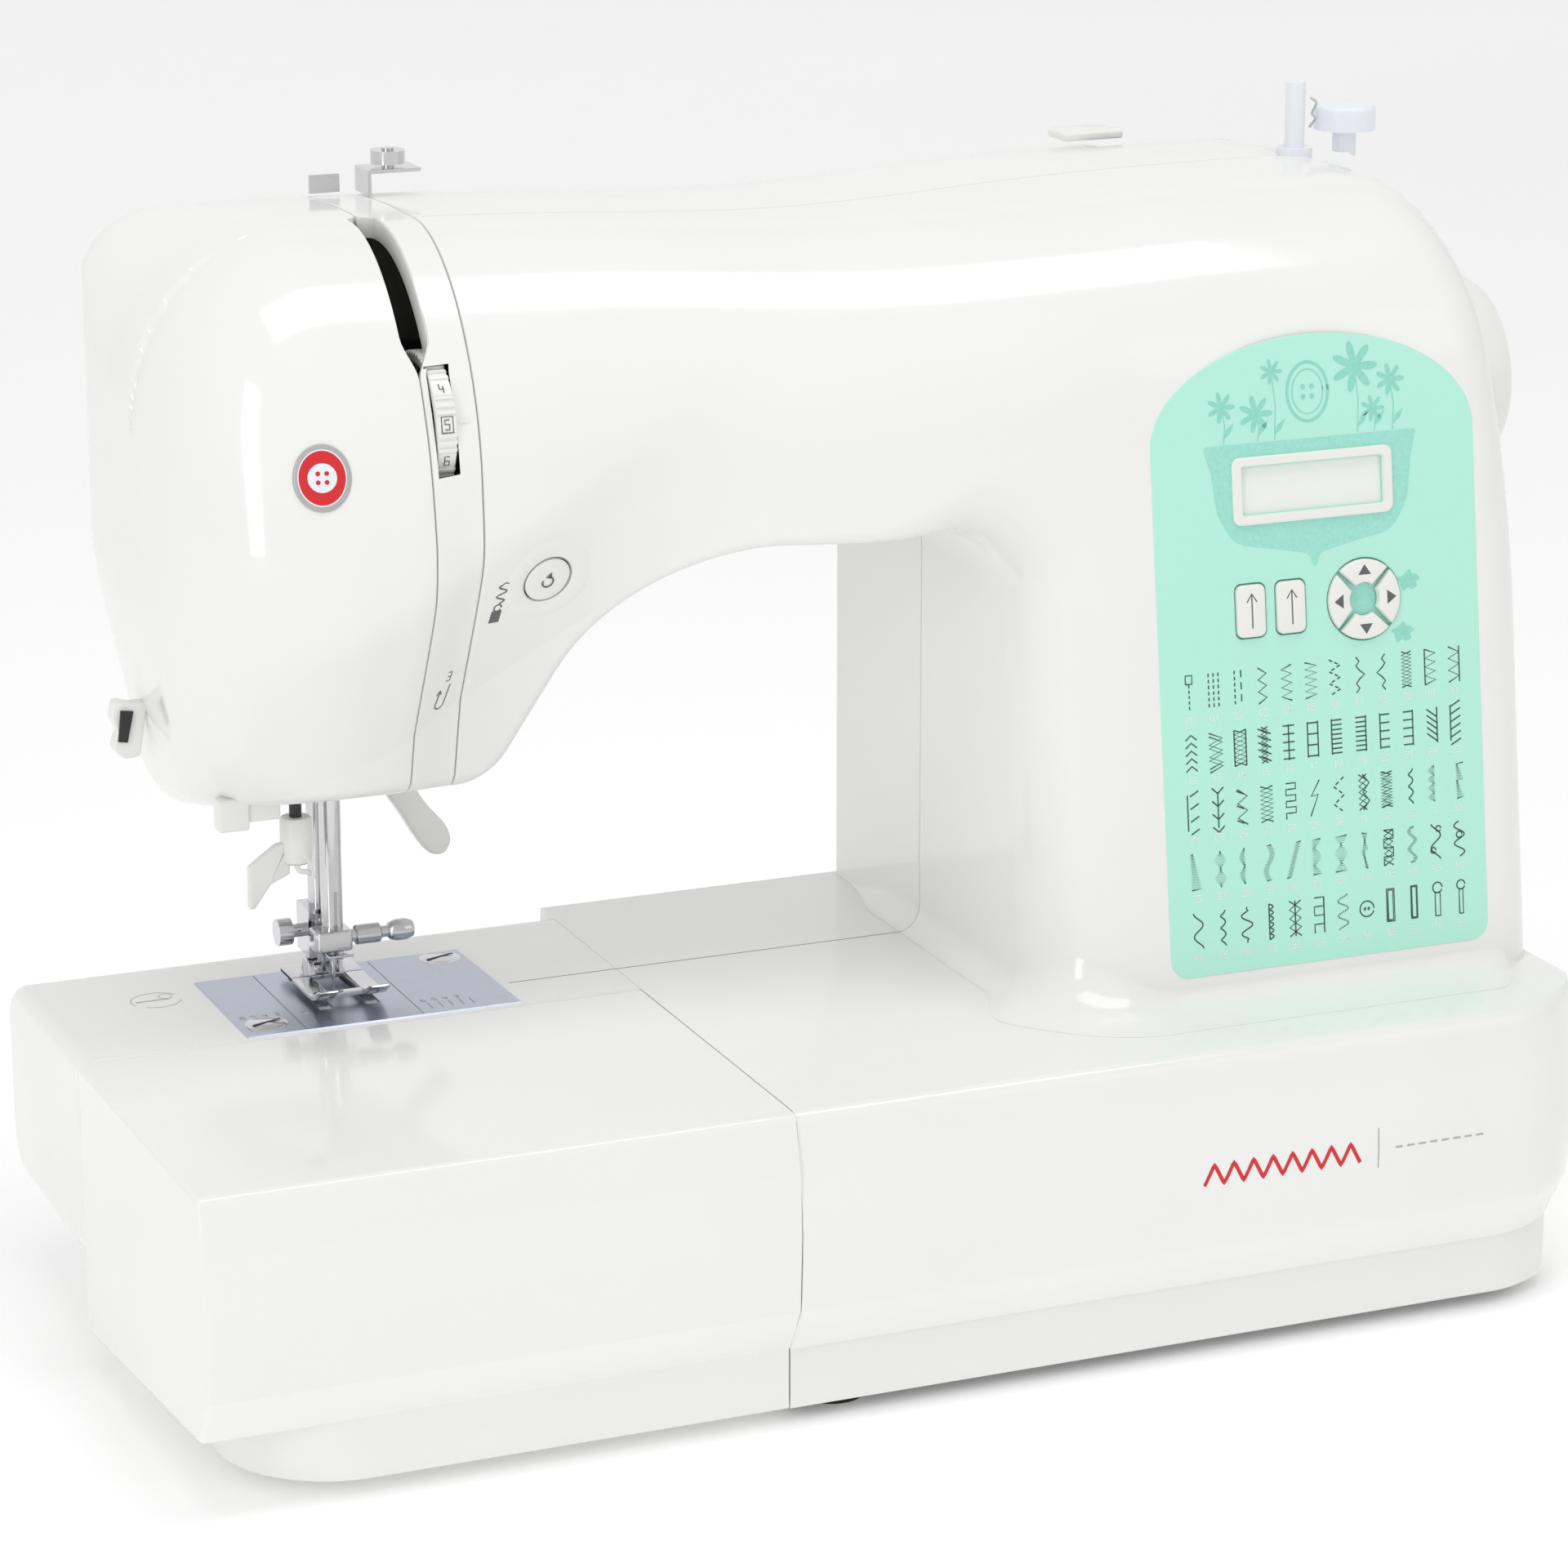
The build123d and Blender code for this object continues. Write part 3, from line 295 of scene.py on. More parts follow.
class Shape:
    """Collects grids, fans and flat faces in drawing millimetres, then makes one piece of them."""

    def __init__(self):
        self.points, self.faces, self.tints = [], [], []
        self.count = 0

    def _put(self, points, faces, tint):
        """Adds points and gives their indices."""
        self.points.append(np.asarray(points, float).reshape(-1, 3))
        self.faces.extend(faces)
        self.tints.extend([tint] * len(faces))
        self.count += len(self.points[-1])

    def grid(self, points, around=False, keep=None, tint=0, flip=False):
        """Quads over an (m, n, 3) grid, closed in its second direction where around is set."""
        m, n = points.shape[:2]
        index = np.arange(m * n).reshape(m, n) + self.count
        right = np.roll(index, -1, 1) if around else index[:, 1:]
        left = index if around else index[:, :-1]
        quads = np.stack([left[:-1], right[:-1], right[1:], left[1:]], -1).reshape(-1, 4)
        if keep is not None:
            quads = quads[keep.reshape(-1)]
        if flip:
            quads = quads[:, ::-1]
        self._put(points, quads.tolist(), tint)
        return self

    def polygon(self, points, tint=0):
        """One flat face."""
        self._put(points, [list(range(self.count, self.count + len(points)))], tint)
        return self

    def piece(self, name, body, materials, slot, replaces=(), angle=32.0, outward=False, cuts=()):
        """Makes the object: welded, opened along the given boxes, smooth but for sharp corners, riding on its
        body."""
        points = np.concatenate(self.points) / 1000 + SHIFT
        mesh = bpy.data.meshes.new(name)
        mesh.from_pydata(points.tolist(), [], self.faces)
        for material in materials if isinstance(materials, (list, tuple)) else [materials]:
            mesh.materials.append(finish(material))
        mesh.polygons.foreach_set("material_index", self.tints)
        work = bmesh.new()
        work.from_mesh(mesh)
        bmesh.ops.remove_doubles(work, verts=work.verts, dist=2e-6)
        bmesh.ops.dissolve_degenerate(work, edges=work.edges, dist=1e-7)
        if outward:
            bmesh.ops.recalc_face_normals(work, faces=work.faces)
        for low, high in cuts:
            open_box(work, np.array(low) / 1000 + SHIFT, np.array(high) / 1000 + SHIFT)
        work.to_mesh(mesh)
        work.free()
        mesh.shade_smooth()
        mesh.set_sharp_from_angle(angle=math.radians(angle))
        obj = bpy.data.objects.new(name, mesh)
        bpy.context.scene.collection.objects.link(obj)
        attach(obj, body)
        if replaces:
            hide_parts(*replaces)
        return obj


def unit(v):
    """Vectors scaled to length one."""
    return v / np.maximum(np.linalg.norm(v, axis=-1, keepdims=True), 1e-9)


def arc(centre, radius, start, stop, steps):
    """Points of a circular arc in a plane, angles in degrees."""
    t = np.radians(np.linspace(start, stop, steps))
    return np.stack([centre[0] + radius * np.cos(t), centre[1] + radius * np.sin(t)], 1)


def rounded(corners, radii, steps=6):
    """Outline with each corner replaced by an arc of its radius that touches both sides."""
    corners = np.asarray(corners, float)
    radii = np.broadcast_to(radii, len(corners))
    made = []
    for i, r in enumerate(radii):
        here, back, ahead = corners[i], corners[i - 1], corners[(i + 1) % len(corners)]
        a, b = (back - here) / np.linalg.norm(back - here), (ahead - here) / np.linalg.norm(ahead - here)
        half = math.acos(np.clip(a @ b, -1, 1)) / 2
        if r < 1e-6 or half > 1.569:
            made.append(here[None])
            continue
        reach = r / math.tan(half)
        centre = here + (a + b) / np.linalg.norm(a + b) * r / math.sin(half)
        t = np.linspace(0, 1, steps)[:, None]
        first, last = here + a * reach - centre, here + b * reach - centre
        turn = math.pi - 2 * half
        made.append(centre + (np.sin((1 - t) * turn) * first + np.sin(t * turn) * last) / math.sin(turn))
    return np.concatenate(made)


def inset(outline, amount):
    """Closed outline moved inwards along the mean of each point's two edge normals (outline anticlockwise)."""
    ahead = np.roll(outline, -1, 0) - outline
    ahead = ahead / np.maximum(np.linalg.norm(ahead, axis=1, keepdims=True), 1e-9)
    back = np.roll(ahead, 1, 0)
    normal = np.stack([-(ahead + back)[:, 1], (ahead + back)[:, 0]], 1)
    size = np.maximum((normal ** 2).sum(1, keepdims=True), 0.4)
    return outline + amount * 2 * normal / size


def drawn_in(corners, amount):
    """Corners of a closed anticlockwise polygon after every side has moved inwards by the same amount."""
    corners = np.asarray(corners, float)
    ahead = unit(np.roll(corners, -1, 0) - corners)
    back = np.roll(ahead, 1, 0)
    normals = np.stack([-(ahead + back)[:, 1], (ahead + back)[:, 0]], 1)
    return corners + 2 * amount * normals / (normals ** 2).sum(1, keepdims=True)


def soft_bar(shape, corners, radii, axis, low, high, edge=0.4, low_edge=None, steps=6, turns=8):
    """Closed bar on a polygon with rounded corners; towards its ends the sides draw in along a quarter circle
    and the corner radii shrink with them."""
    low_edge = edge if low_edge is None else low_edge
    radii = np.broadcast_to(np.asarray(radii, float), len(corners))
    t = np.linspace(0, math.pi / 2, steps)
    rows = [(low_edge * (1 - math.sin(a)), low + low_edge * (1 - math.cos(a))) for a in t]
    rows += [(edge * (1 - math.cos(a)), high - edge * (1 - math.sin(a))) for a in t]
    rings = [lift(rounded(drawn_in(corners, d), np.maximum(radii - d, 0.02), turns), axis, h) for d, h in rows]
    shape.grid(np.stack(rings), around=True)
    shape.polygon(rings[0][::-1])
    shape.polygon(rings[-1])
    return shape


PLANES = {"x": (1, 2, 0), "y": (2, 0, 1), "z": (0, 1, 2)}


def lift(outline, axis, height):
    """Puts a plane outline into space: an x outline is (y, z), a y outline (z, x), a z outline (x, y)."""
    i, j, k = PLANES[axis]
    points = np.zeros((len(outline), 3))
    points[:, i], points[:, j] = outline[:, 0], outline[:, 1]
    points[:, k] = height
    return points


def slab(shape, outline, axis, low, high, edge=0.4, steps=4, low_edge=None, tint=0):
    """Closed prism on an anticlockwise outline, its rims rounded by quarter circles of the edge radius."""
    low_edge = edge if low_edge is None else low_edge
    ahead = np.roll(outline, -1, 0)
    if (outline[:, 0] * ahead[:, 1] - ahead[:, 0] * outline[:, 1]).sum() < 0:
        outline = outline[::-1]
    t = np.linspace(0, math.pi / 2, steps)
    rings = [lift(inset(outline, low_edge * (1 - math.sin(a))), axis,
                  low + low_edge * (1 - math.cos(a))) for a in t]
    rings += [lift(inset(outline, edge * (1 - math.cos(a))), axis, high - edge * (1 - math.sin(a))) for a in t]
    shape.grid(np.stack(rings), around=True, tint=tint)
    shape.polygon(rings[0][::-1], tint)
    shape.polygon(rings[-1], tint)
    return shape


def turned(shape, profile, origin, axis, steps=48, tint=0, cap=True):
    """Surface of revolution: (radius, height) pairs turned about the axis through the origin."""
    profile = np.asarray(profile, float)
    t = np.linspace(0, 2 * math.pi, steps, endpoint=False)
    i, j, k = PLANES[axis]
    points = np.zeros((len(profile), steps, 3))
    points[:, :, i] = origin[i] + profile[:, :1] * np.cos(t)
    points[:, :, j] = origin[j] + profile[:, :1] * np.sin(t)
    points[:, :, k] = origin[k] + profile[:, 1:]
    shape.grid(points, around=True, tint=tint)
    if cap:
        shape.polygon(points[0][::-1], tint)
        shape.polygon(points[-1], tint)
    return shape


def tube(shape, path, radius, sides=12, tint=0):
    """Round tube along a path of points, its frame carried from point to point; radius may vary."""
    path = np.asarray(path, float)
    radius = np.broadcast_to(radius, len(path))
    along = np.gradient(path, axis=0)
    along /= np.linalg.norm(along, axis=1, keepdims=True)
    side = np.cross(along[0], (0.3, 0.2, 0.93))
    rings = []
    t = np.linspace(0, 2 * math.pi, sides, endpoint=False)[:, None]
    for point, way, r in zip(path, along, radius):
        side = side - way * (side @ way)
        side = side / np.linalg.norm(side)
        up = np.cross(way, side)
        rings.append(point + r * (np.cos(t) * side + np.sin(t) * up))
    shape.grid(np.stack(rings), around=True, tint=tint)
    shape.polygon(rings[0][::-1], tint)
    shape.polygon(rings[-1], tint)
    return shape


def smooth_path(points, count=24):
    """Catmull-Rom curve through a few points."""
    p = np.asarray(points, float)
    p = np.concatenate([2 * p[:1] - p[1:2], p, 2 * p[-1:] - p[-2:-1]])
    t = np.linspace(0, len(points) - 1, count)
    i = np.minimum(t.astype(int), len(points) - 2)
    f = (t - i)[:, None]
    a, b, c, d = p[i], p[i + 1], p[i + 2], p[i + 3]
    return 0.5 * (2 * b + (c - a) * f + (2 * a - 5 * b + 4 * c - d) * f ** 2 + (3 * b - a - 3 * c + d) * f ** 3)


# =====================================================================================================
# The body: one distance-like function, negative inside, from which every cover's skin is cast
# =====================================================================================================
def ease(x, low, high):
    """Smooth step from 0 at low to 1 at high: 3t^2 - 2t^3."""
    t = np.clip((x - low) / (high - low), 0, 1)
    return t * t * (3 - 2 * t)


def round_and(a, b, ra, rb=None):
    """Intersection of two solids with an elliptic rounding of the shared edge."""
    rb = ra if rb is None else rb
    u, v = np.maximum(a / ra + 1, 0), np.maximum(b / rb + 1, 0)
    return np.where((u > 0) & (v > 0), (np.hypot(u, v) - 1) * np.minimum(ra, rb), np.maximum(a, b))


def round_or(a, b, r):
    """Union of two solids with a fillet between them."""
    return -round_and(-a, -b, r)


def head_share(x):
    """0 over the head, 1 at the pillar."""
    return ease(x, -62, 98)


def crease(x):
    """Height of the soft crease under which the head's face falls back, rising towards the arm."""
    t = x + 163
    return 204 + 0.33 * t + 0.0016 * t * t


def front_y(x, z):
    """Front skin before its edges are rounded: the head's upright face with its undercut, blended into the
    pillar's evenly leaning face."""
    bulge = 4.5 * ease(-x, 94, 116) * ease(286 - z, 0, 50)
    head = -16 + 0.08 * np.maximum(z - 240, 0) - bulge
    below = crease(x) - z
    below = 0.5 * (below + np.sqrt(below * below + 40))
    undercut = 0.53 * np.minimum(below, 44) + 0.26 * np.maximum(below - 44, 0)
    head = head + undercut * (1 - ease(x, -92, 8))
    pillar = -58 + 26 / 190 * (z - 96)
    return head + (pillar - head) * head_share(x)


def top_z(x, y):
    """Top of the arm: a shallow dip along it and a slight crown across it."""
    return TOP_Z - 5.0 * np.exp(-((x - 15) / 72) ** 2) - 0.0011 * (y - 55) ** 2


def body(p):
    """Head, arm and pillar: front, top, back, right and left faces rounded together, cut below by the head's
    bottom, the throat's slanted wall and ceiling, and the pillar's inner wall."""
    x, y, z = p[..., 0], p[..., 1], p[..., 2]
    share = head_share(x)
    solid = round_and(front_y(x, z) - y, z - top_z(x, y), 48 - 5 * share, 58 - 16 * share)
    solid = round_and(solid, y - REAR_Y, 17)
    right = x - (RIGHT_X - 0.00108 * np.maximum(z - 195, 0) ** 2)
    solid = round_and(solid, right, 18 + 12 * ease(y, 0, 80))
    left = HEAD_LEFT_X + 11 * ease(232 - z, 0, 75) - x
    solid = round_and(solid, left, 50 - 26 * ease(y, 55, 107))
    slanted = (x + 82.5 - (z - 163) / 1.9) * 0.885
    arch = round_or(slanted, THROAT_TOP - z, 36)
    arch = round_and((163 - 0.24 * (y - 13) - z) * 0.97, arch, 8)
    arch = round_or(arch, THROAT_RIGHT - x, 20)
    edge = 4 + 20 * ease(x, 14, 62) + 22 * ease(-x, 138, 176)
    edge = edge * (1 - 0.85 * ease(y, 60, 90) * ease(x, -130, -100))
    return round_and(solid, arch, edge)


def table_fillet(x, y):
    """Size of the flare at the pillar's foot: wide in front, small at the left, none at the right and back."""
    return 0.4 + (7 + 13 * ease(-y, 20, 50)) * (1 - ease(x, 196, 214)) * (1 - ease(y, 60, 95))


def body_with_foot(p):
    """The body joined to the table's top by the flare, wider than it is high below the panel."""
    x, y = p[..., 0], p[..., 1]
    wide = table_fillet(x, y)
    high = np.minimum(wide, 6.0 + 13 * (1 - ease(x, 66, 100)))
    a, b = -body(p), -(p[..., 2] - BED_Z)
    u, v = np.maximum(a / wide + 1, 0), np.maximum(b / high + 1, 0)
    return -np.where((u > 0) & (v > 0), (np.hypot(u, v) - 1) * np.minimum(wide, high), np.maximum(a, b))


def cast(origin, way, solid, reach=320.0, steps=26):
    """Points where rays leave the solid, by halving; origins lie inside."""
    near, far = np.zeros(way.shape[:-1]), np.full(way.shape[:-1], reach)
    for _ in range(steps):
        middle = 0.5 * (near + far)
        inside = solid(origin + way * middle[..., None]) < 0
        near, far = np.where(inside, middle, near), np.where(inside, far, middle)
    return origin + way * near[..., None]


def even(points, count, weight=6.0):
    """Moves each row's points to even spacing along it, closer where it bends."""
    step = np.diff(points, axis=1)
    size = np.linalg.norm(step, axis=-1)
    way = step / np.maximum(size, 1e-9)[..., None]
    bend = np.zeros_like(size)
    bend[:, 1:] = np.linalg.norm(np.diff(way, axis=1), axis=-1)
    run = np.concatenate([np.zeros((len(points), 1)), np.cumsum(size + weight * bend, 1)], 1)
    made = np.empty((len(points), count, 3))
    for row in range(len(points)):
        place = np.linspace(0, run[row, -1], count)
        for k in range(3):
            made[row, :, k] = np.interp(place, run[row], points[row, :, k])
    return made


def arm_sections(split_y):
    """Section planes along the C of the covers: upright across the arm, a fan at the elbow, level down the
    pillar. Each is an origin on the split plane and an outward direction in the front view."""
    pivot = np.array([34.0, 203.0])
    upright = np.linspace(STRIP_RIGHT + HALF_SEAM, pivot[0], 74)
    fan = np.linspace(90, 0, 60)[1:]
    level = np.concatenate([np.linspace(pivot[1], 112, 50)[1:], 92.55 + 20 * np.linspace(1, 0, 26)[1:] ** 1.8])
    origins, ways = [], []
    for x in upright:
        low = cast(np.array([[x, split_y, 300.0]]), np.array([[0, 0, -1.0]]), body)[0, 2]
        origins.append((x, split_y, 0.5 * (low + top_z(x, split_y))))
        ways.append((0, 0, 1))
    for angle in np.radians(fan):
        way = np.array([math.cos(angle), 0, math.sin(angle)])
        inner = 0.0
        while body(np.array([pivot[0], split_y, pivot[1]]) + way * inner) > 0:
            inner += 0.5
        outer = cast(np.array([pivot[0], split_y, pivot[1]]) + way * (inner + 3), way, body)
        middle = 0.5 * (outer + np.array([pivot[0], split_y, pivot[1]]) + way * inner)
        origins.append(tuple(middle))
        ways.append(tuple(way))
    for z in level:
        origins.append((0.5 * (THROAT_RIGHT + RIGHT_X), split_y, z))
        ways.append((1, 0, 0))
    return np.array(origins), np.array(ways, float)


def half_cover(split_y, side, samples=1200, count=230):
    """Skin of the front (side -1) or rear (side 1) half over all section planes: rays turn from outward,
    through the front or the rear, to inward."""
    origins, ways = arm_sections(split_y)
    angle = np.linspace(0, math.pi, samples)
    across = np.array([0.0, side, 0.0])
    rays = np.cos(angle)[None, :, None] * ways[:, None] + np.sin(angle)[None, :, None] * across
    low = origins[:, 2] < 160
    points = np.concatenate([cast(origins[~low][:, None], rays[~low], body),
                             cast(origins[low][:, None], rays[low], body_with_foot)])
    return even(points, count), ways


def add_seam(shape_name, outline, body_name="machine", width=0.32, lift_by=0.03):
    """Painted shade of the gap where two covers meet on flat casing: a dark ribbon of even width laid along a path.
    """
    path = np.asarray(outline, float)
    way = np.gradient(path, axis=0)
    way /= np.linalg.norm(way, axis=1, keepdims=True)
    side = np.cross(way, (0, 0, 1)) * width / 2
    up = np.array([0, 0, lift_by])
    shape = Shape()
    shape.grid(np.stack([path - side + up, path + side + up]))
    return shape.piece(shape_name, body_name, "dark_gap", "black_rubber")


def lips(points, inward, depth=2.4, radius=0.4):
    """Row of an edge turned over: a small rounding, then a lip that goes into the body."""
    along = points[1] - points[0]
    along = along / np.maximum(np.linalg.norm(along, axis=-1, keepdims=True), 1e-9)
    edge = points[0]
    return np.concatenate([(edge + inward * depth)[None], (edge + inward * radius)[None],
                           (edge + inward * radius * 0.3 + along * radius * 0.3)[None],
                           (edge + along * radius)[None], points[1:]])


def half_skin(side):
    """Front (side -1) or rear (side 1) half of arm and pillar as a grid of sections by points across, its long
    edges turned in at the seam."""
    split = SPLIT_Y + side * HALF_SEAM
    points, ways = half_cover(split, side)
    swapped = points.transpose(1, 0, 2)
    swapped = lips(swapped, -ways)
    swapped = lips(swapped[::-1], ways)[::-1]
    points = swapped.transpose(1, 0, 2)
    middle = np.array([points[0, 0, 0], split, 240.0])
    return lips(points, unit(middle - points[0]), depth=4.0)


def front_half():
    """Front of arm and pillar, open behind the panel and round the reverse button."""
    points = half_skin(-1)
    middle = 0.25 * (points[:-1, :-1] + points[1:, :-1] + points[:-1, 1:] + points[1:, 1:])
    x, y, z = middle[..., 0], middle[..., 1], middle[..., 2]
    arch = 252 + 27 * np.sqrt(np.clip(1 - ((x - 150) / 48.0) ** 2, 0, 1))
    behind_panel = (np.abs(x - 150) < 47) & (z > 104.5) & (z < arch - 3) & (y < -20)
    button = (np.hypot(x - BUTTON[0], z - BUTTON[1]) < BUTTON[2] + 3.0) & (y < 10)
    return Shape().grid(points, keep=~(behind_panel | button), flip=True)


def rear_half():
    """Back of arm and pillar."""
    return Shape().grid(half_skin(1))


def slot_share(points):
    """1 where the thread slot runs: over the front of the head from the top to its closed lower end."""
    y, z = points[..., 1], points[..., 2]
    return ease(46 - y, 0, 3) * ease(z, 285, 296) * (z > 240)


def ring_sections(xs, origin_z, solid, samples=1400, count=300):
    """Full sections of the head in planes of constant x, from the top round the front, below and the back."""
    angle = np.linspace(0, 2 * math.pi, samples)
    origins = np.stack([xs, np.full(len(xs), 45.0), np.full(len(xs), origin_z)], 1)
    rays = np.zeros((len(xs), samples, 3))
    rays[..., 1], rays[..., 2] = np.sin(angle) * -1, np.cos(angle)
    return even(cast(origins[:, None], rays, solid), count)


RECESS = ((138, 80, 286), (205, 130, 340))
REAR_SCREWS = ((-14.0, 64.0), (205.0, 64.0), (203.0, 190.0), (-60.0, 250.0))


def recess_liner():
    """Walls of the spool recess: each wall's outer edge is cast on to the skin."""
    (x0, y0, z0), (x1, _, _) = RECESS
    angle = np.radians(np.linspace(90, 0, 60))
    ways = np.stack([0 * angle, np.cos(angle), np.sin(angle)], 1)
    shape = Shape()
    for x in (x0, x1):
        corner = np.array([x, y0, z0], float)
        edge = cast(corner, ways, body, 80)
        fan = np.stack([np.broadcast_to(corner, edge.shape), edge])
        shape.grid(fan, flip=x > 150)
    xs = np.linspace(x0, x1, 50)
    low = np.stack([xs, np.full(50, y0), np.full(50, z0)], 1).astype(float)
    shape.grid(np.stack([low, cast(low, np.broadcast_to((0.0, 0, 1), low.shape), body, 80)]))
    shape.grid(np.stack([cast(low, np.broadcast_to((0.0, 1, 0), low.shape), body, 80), low]))
    return shape


def back_cast(points):
    """Points of a front view put on the machine's back, on the table's wall below the bed."""
    points = np.asarray(points, float)
    start = np.stack([points[:, 0], np.full(len(points), 60.0), points[:, 1]], 1)
    upper = cast(start, np.broadcast_to((0.0, 1, 0), start.shape), body, 80)
    corner = np.maximum(points[:, 0] - (RIGHT_X - 30), 0)
    wall = REAR_Y - 30 + np.sqrt(np.maximum(900 - corner ** 2, 0)) - 0.08
    upper[:, 1] = np.where(points[:, 1] < 90, wall, upper[:, 1])
    return upper


def screw_wells():
    """Round sinks for the back's screws: a ring on the skin, then a tube going in."""
    shape = Shape()
    for place in REAR_SCREWS:
        rings = [back_cast(circle(place, r, 40)) for r in (9.0, 8.6, 4.9, 4.5, 4.5)]
        for ring, rise in zip(rings, (-0.1, 0.05, 0.05, -0.3, 0)):
            ring[:, 1] += rise
        rings[-1][:, 1] = 99.0
        shape.grid(np.stack(rings), around=True, flip=True)
    return shape


DIAL_WINDOW = (-108.2, -101.6, 259.5, 288.5)


def strip_ring():
    """The threading strip: a narrow slice of the head between two seams, open at the thread slot."""
    left, right, bottom, top = DIAL_WINDOW
    xs = np.concatenate([[STRIP_LEFT + HALF_SEAM, -109.3], np.linspace(left, right, 9),
                         np.linspace(-100, -95.6, 6),
                         [STRIP_RIGHT - HALF_SEAM]])
    points = ring_sections(xs, 235, body, count=800)
    slot = slot_share(points[0]) * 3.9
    share = np.linspace(1, 0, len(xs))[:, None]
    moved = points[..., 0] + slot[None] * share
    rays = unit(points - np.array([0, 45.0, 235.0]) * [0, 1, 1] - points * [1, 0, 0])
    origin = np.stack([moved, np.full_like(moved, 45.0), np.full_like(moved, 235.0)], -1)
    points = cast(origin, rays, body)
    inward = -rays
    points = lips(points, inward[0], depth=6.0)
    points = lips(points[::-1], inward[-1])[::-1]
    middle = 0.25 * (points[:-1, :-1] + points[1:, :-1] + points[:-1, 1:] + points[1:, 1:])
    x, y, z = middle[..., 0], middle[..., 1], middle[..., 2]
    window = (x > left) & (x < right) & (z > bottom) & (z < top) & (y < 20)
    assert window.any(), "the strip has no dial window"
    return Shape().grid(points, keep=~window, flip=True)


def face_ring():
    """The face cover: rays fan out from inside the head, from the seam's plane round to a pole on the left."""
    seam = STRIP_LEFT - HALF_SEAM
    origin_x = -138.0
    tilt = np.concatenate([np.linspace(0, 60, 90), np.linspace(60, 90, 40)[1:]])
    flat = np.concatenate([np.linspace(seam, origin_x, 34)[:-1]])
    first = ring_sections(flat, 235, body, count=300)
    slot = slot_share(first[0]) * 3.4
    share = np.linspace(1, 0, len(flat))[:, None] ** 2
    moved = first[..., 0] - slot[None] * share
    rays = unit((first - np.array([0, 45.0, 235.0])) * [0, 1, 1])
    origin = np.stack([moved, np.full_like(moved, 45.0), np.full_like(moved, 235.0)], -1)
    first = cast(origin, rays, body)
    angle = np.linspace(0, 2 * math.pi, 300)
    angle = np.arctan2(-rays[-1, :, 1], rays[-1, :, 2])
    a = np.radians(tilt)[:, None]
    way = np.stack([-np.sin(a) * np.ones_like(angle), -np.cos(a) * np.sin(angle), np.cos(a) * np.cos(angle)],
                   -1)
    second = cast(np.array([origin_x, 45.0, 235.0]), way, body)
    points = lips(np.concatenate([first, second]), -rays[0])
    return Shape().grid(points)


# =====================================================================================================
# Table, free arm and tray
# =====================================================================================================
TABLE_PROFILE = [(9.0, 4.2), (9.0, 20.6), (9.3, 21.6), (9.0, 22.6), (6.0, 28.2), (2.6, 33.6), (1.2, 36.2),
                 (0.6, 40.0),
                 (0.0, 50.0), (0.0, 58.0), (0.6, 66.0), (1.7, 75.0), (3.2, 83.0), (4.0, 87.0), (4.5, 89.3),
                 (5.3, 90.9),
                 (6.4, 91.9), (8.0, BED_Z)]


def table_outline():
    """Plan of the table from its left front corner round the right side to the left rear, with outward normals
    and the share of the front's profile that each point has."""
    left, front, rear = -36.2, -100.2, REAR_Y
    corner, back = 34.0, 30.0
    parts = [np.stack([np.linspace(left, RIGHT_X - corner, 60), np.full(60, front)], 1),
             arc((RIGHT_X - corner, front + corner), corner, -90, 0, 26)[1:],
             np.stack([np.full(40, RIGHT_X), np.linspace(front + corner, rear - back, 41)[1:]], 1),
             arc((RIGHT_X - back, rear - back), back, 0, 90, 22)[1:],
             np.stack([np.linspace(RIGHT_X - back, left, 61)[1:], np.full(60, rear)], 1)]
    outline = np.concatenate(parts)
    way = unit(np.gradient(outline, axis=0))
    normal = np.stack([way[:, 1], -way[:, 0]], 1)
    share = 0.06 + 0.94 * ease(-normal[:, 1], 0.05, 0.95)
    return outline, normal, share


def table_skin():
    """Side wall of the table: the profile carried round the plan, drawn in by its share, then the flat top."""
    outline, normal, share = table_outline()
    profile = np.array(TABLE_PROFILE)
    low = (profile[:, 1] < 37)[:, None]
    amount = np.where(low, np.maximum(share, 0.72)[None], share[None]) * profile[:, :1]
    amount = np.where((profile[:, 1] > 88)[:, None], np.maximum(share[None], 0.1) * profile[:, :1], amount)
    wall = np.zeros((len(profile), len(outline), 3))
    wall[..., :2] = outline[None] - normal[None] * amount[..., None]
    wall[..., 2] = profile[:, 1:]
    shape = Shape().grid(wall)
    top = wall[-1]
    split = np.argmin(np.abs(top[:, 1] - SPLIT_Y) + (top[:, 0] < 0) * 999)
    front = np.concatenate([top[:split + 1], [[RIGHT_X - 0.8, SPLIT_Y, BED_Z], [-36.2, SPLIT_Y, BED_Z]]])
    rear = np.concatenate([[[-36.2, SPLIT_Y, BED_Z], [RIGHT_X - 0.8, SPLIT_Y, BED_Z]], top[split + 1:]])
    shape.polygon(front)
    shape.polygon(rear)
    shape.polygon(wall[0][::-1])
    shape.polygon(np.concatenate([wall[:, 0], wall[::-1, -1]])[::-1])
    return shape


def free_arm():
    """The free arm: a rounded section in the y-z plane drawn along x, with a softened left end."""
    return soft_bar(Shape(), [(21.0, 33.0), (103.0, 34.5), (104.5, BED_Z), (21.0, BED_Z)], [5, 14, 12, 1.2],
                    "x",
                    LEFT_X, -36.25, edge=0.2, low_edge=4.5, turns=12)


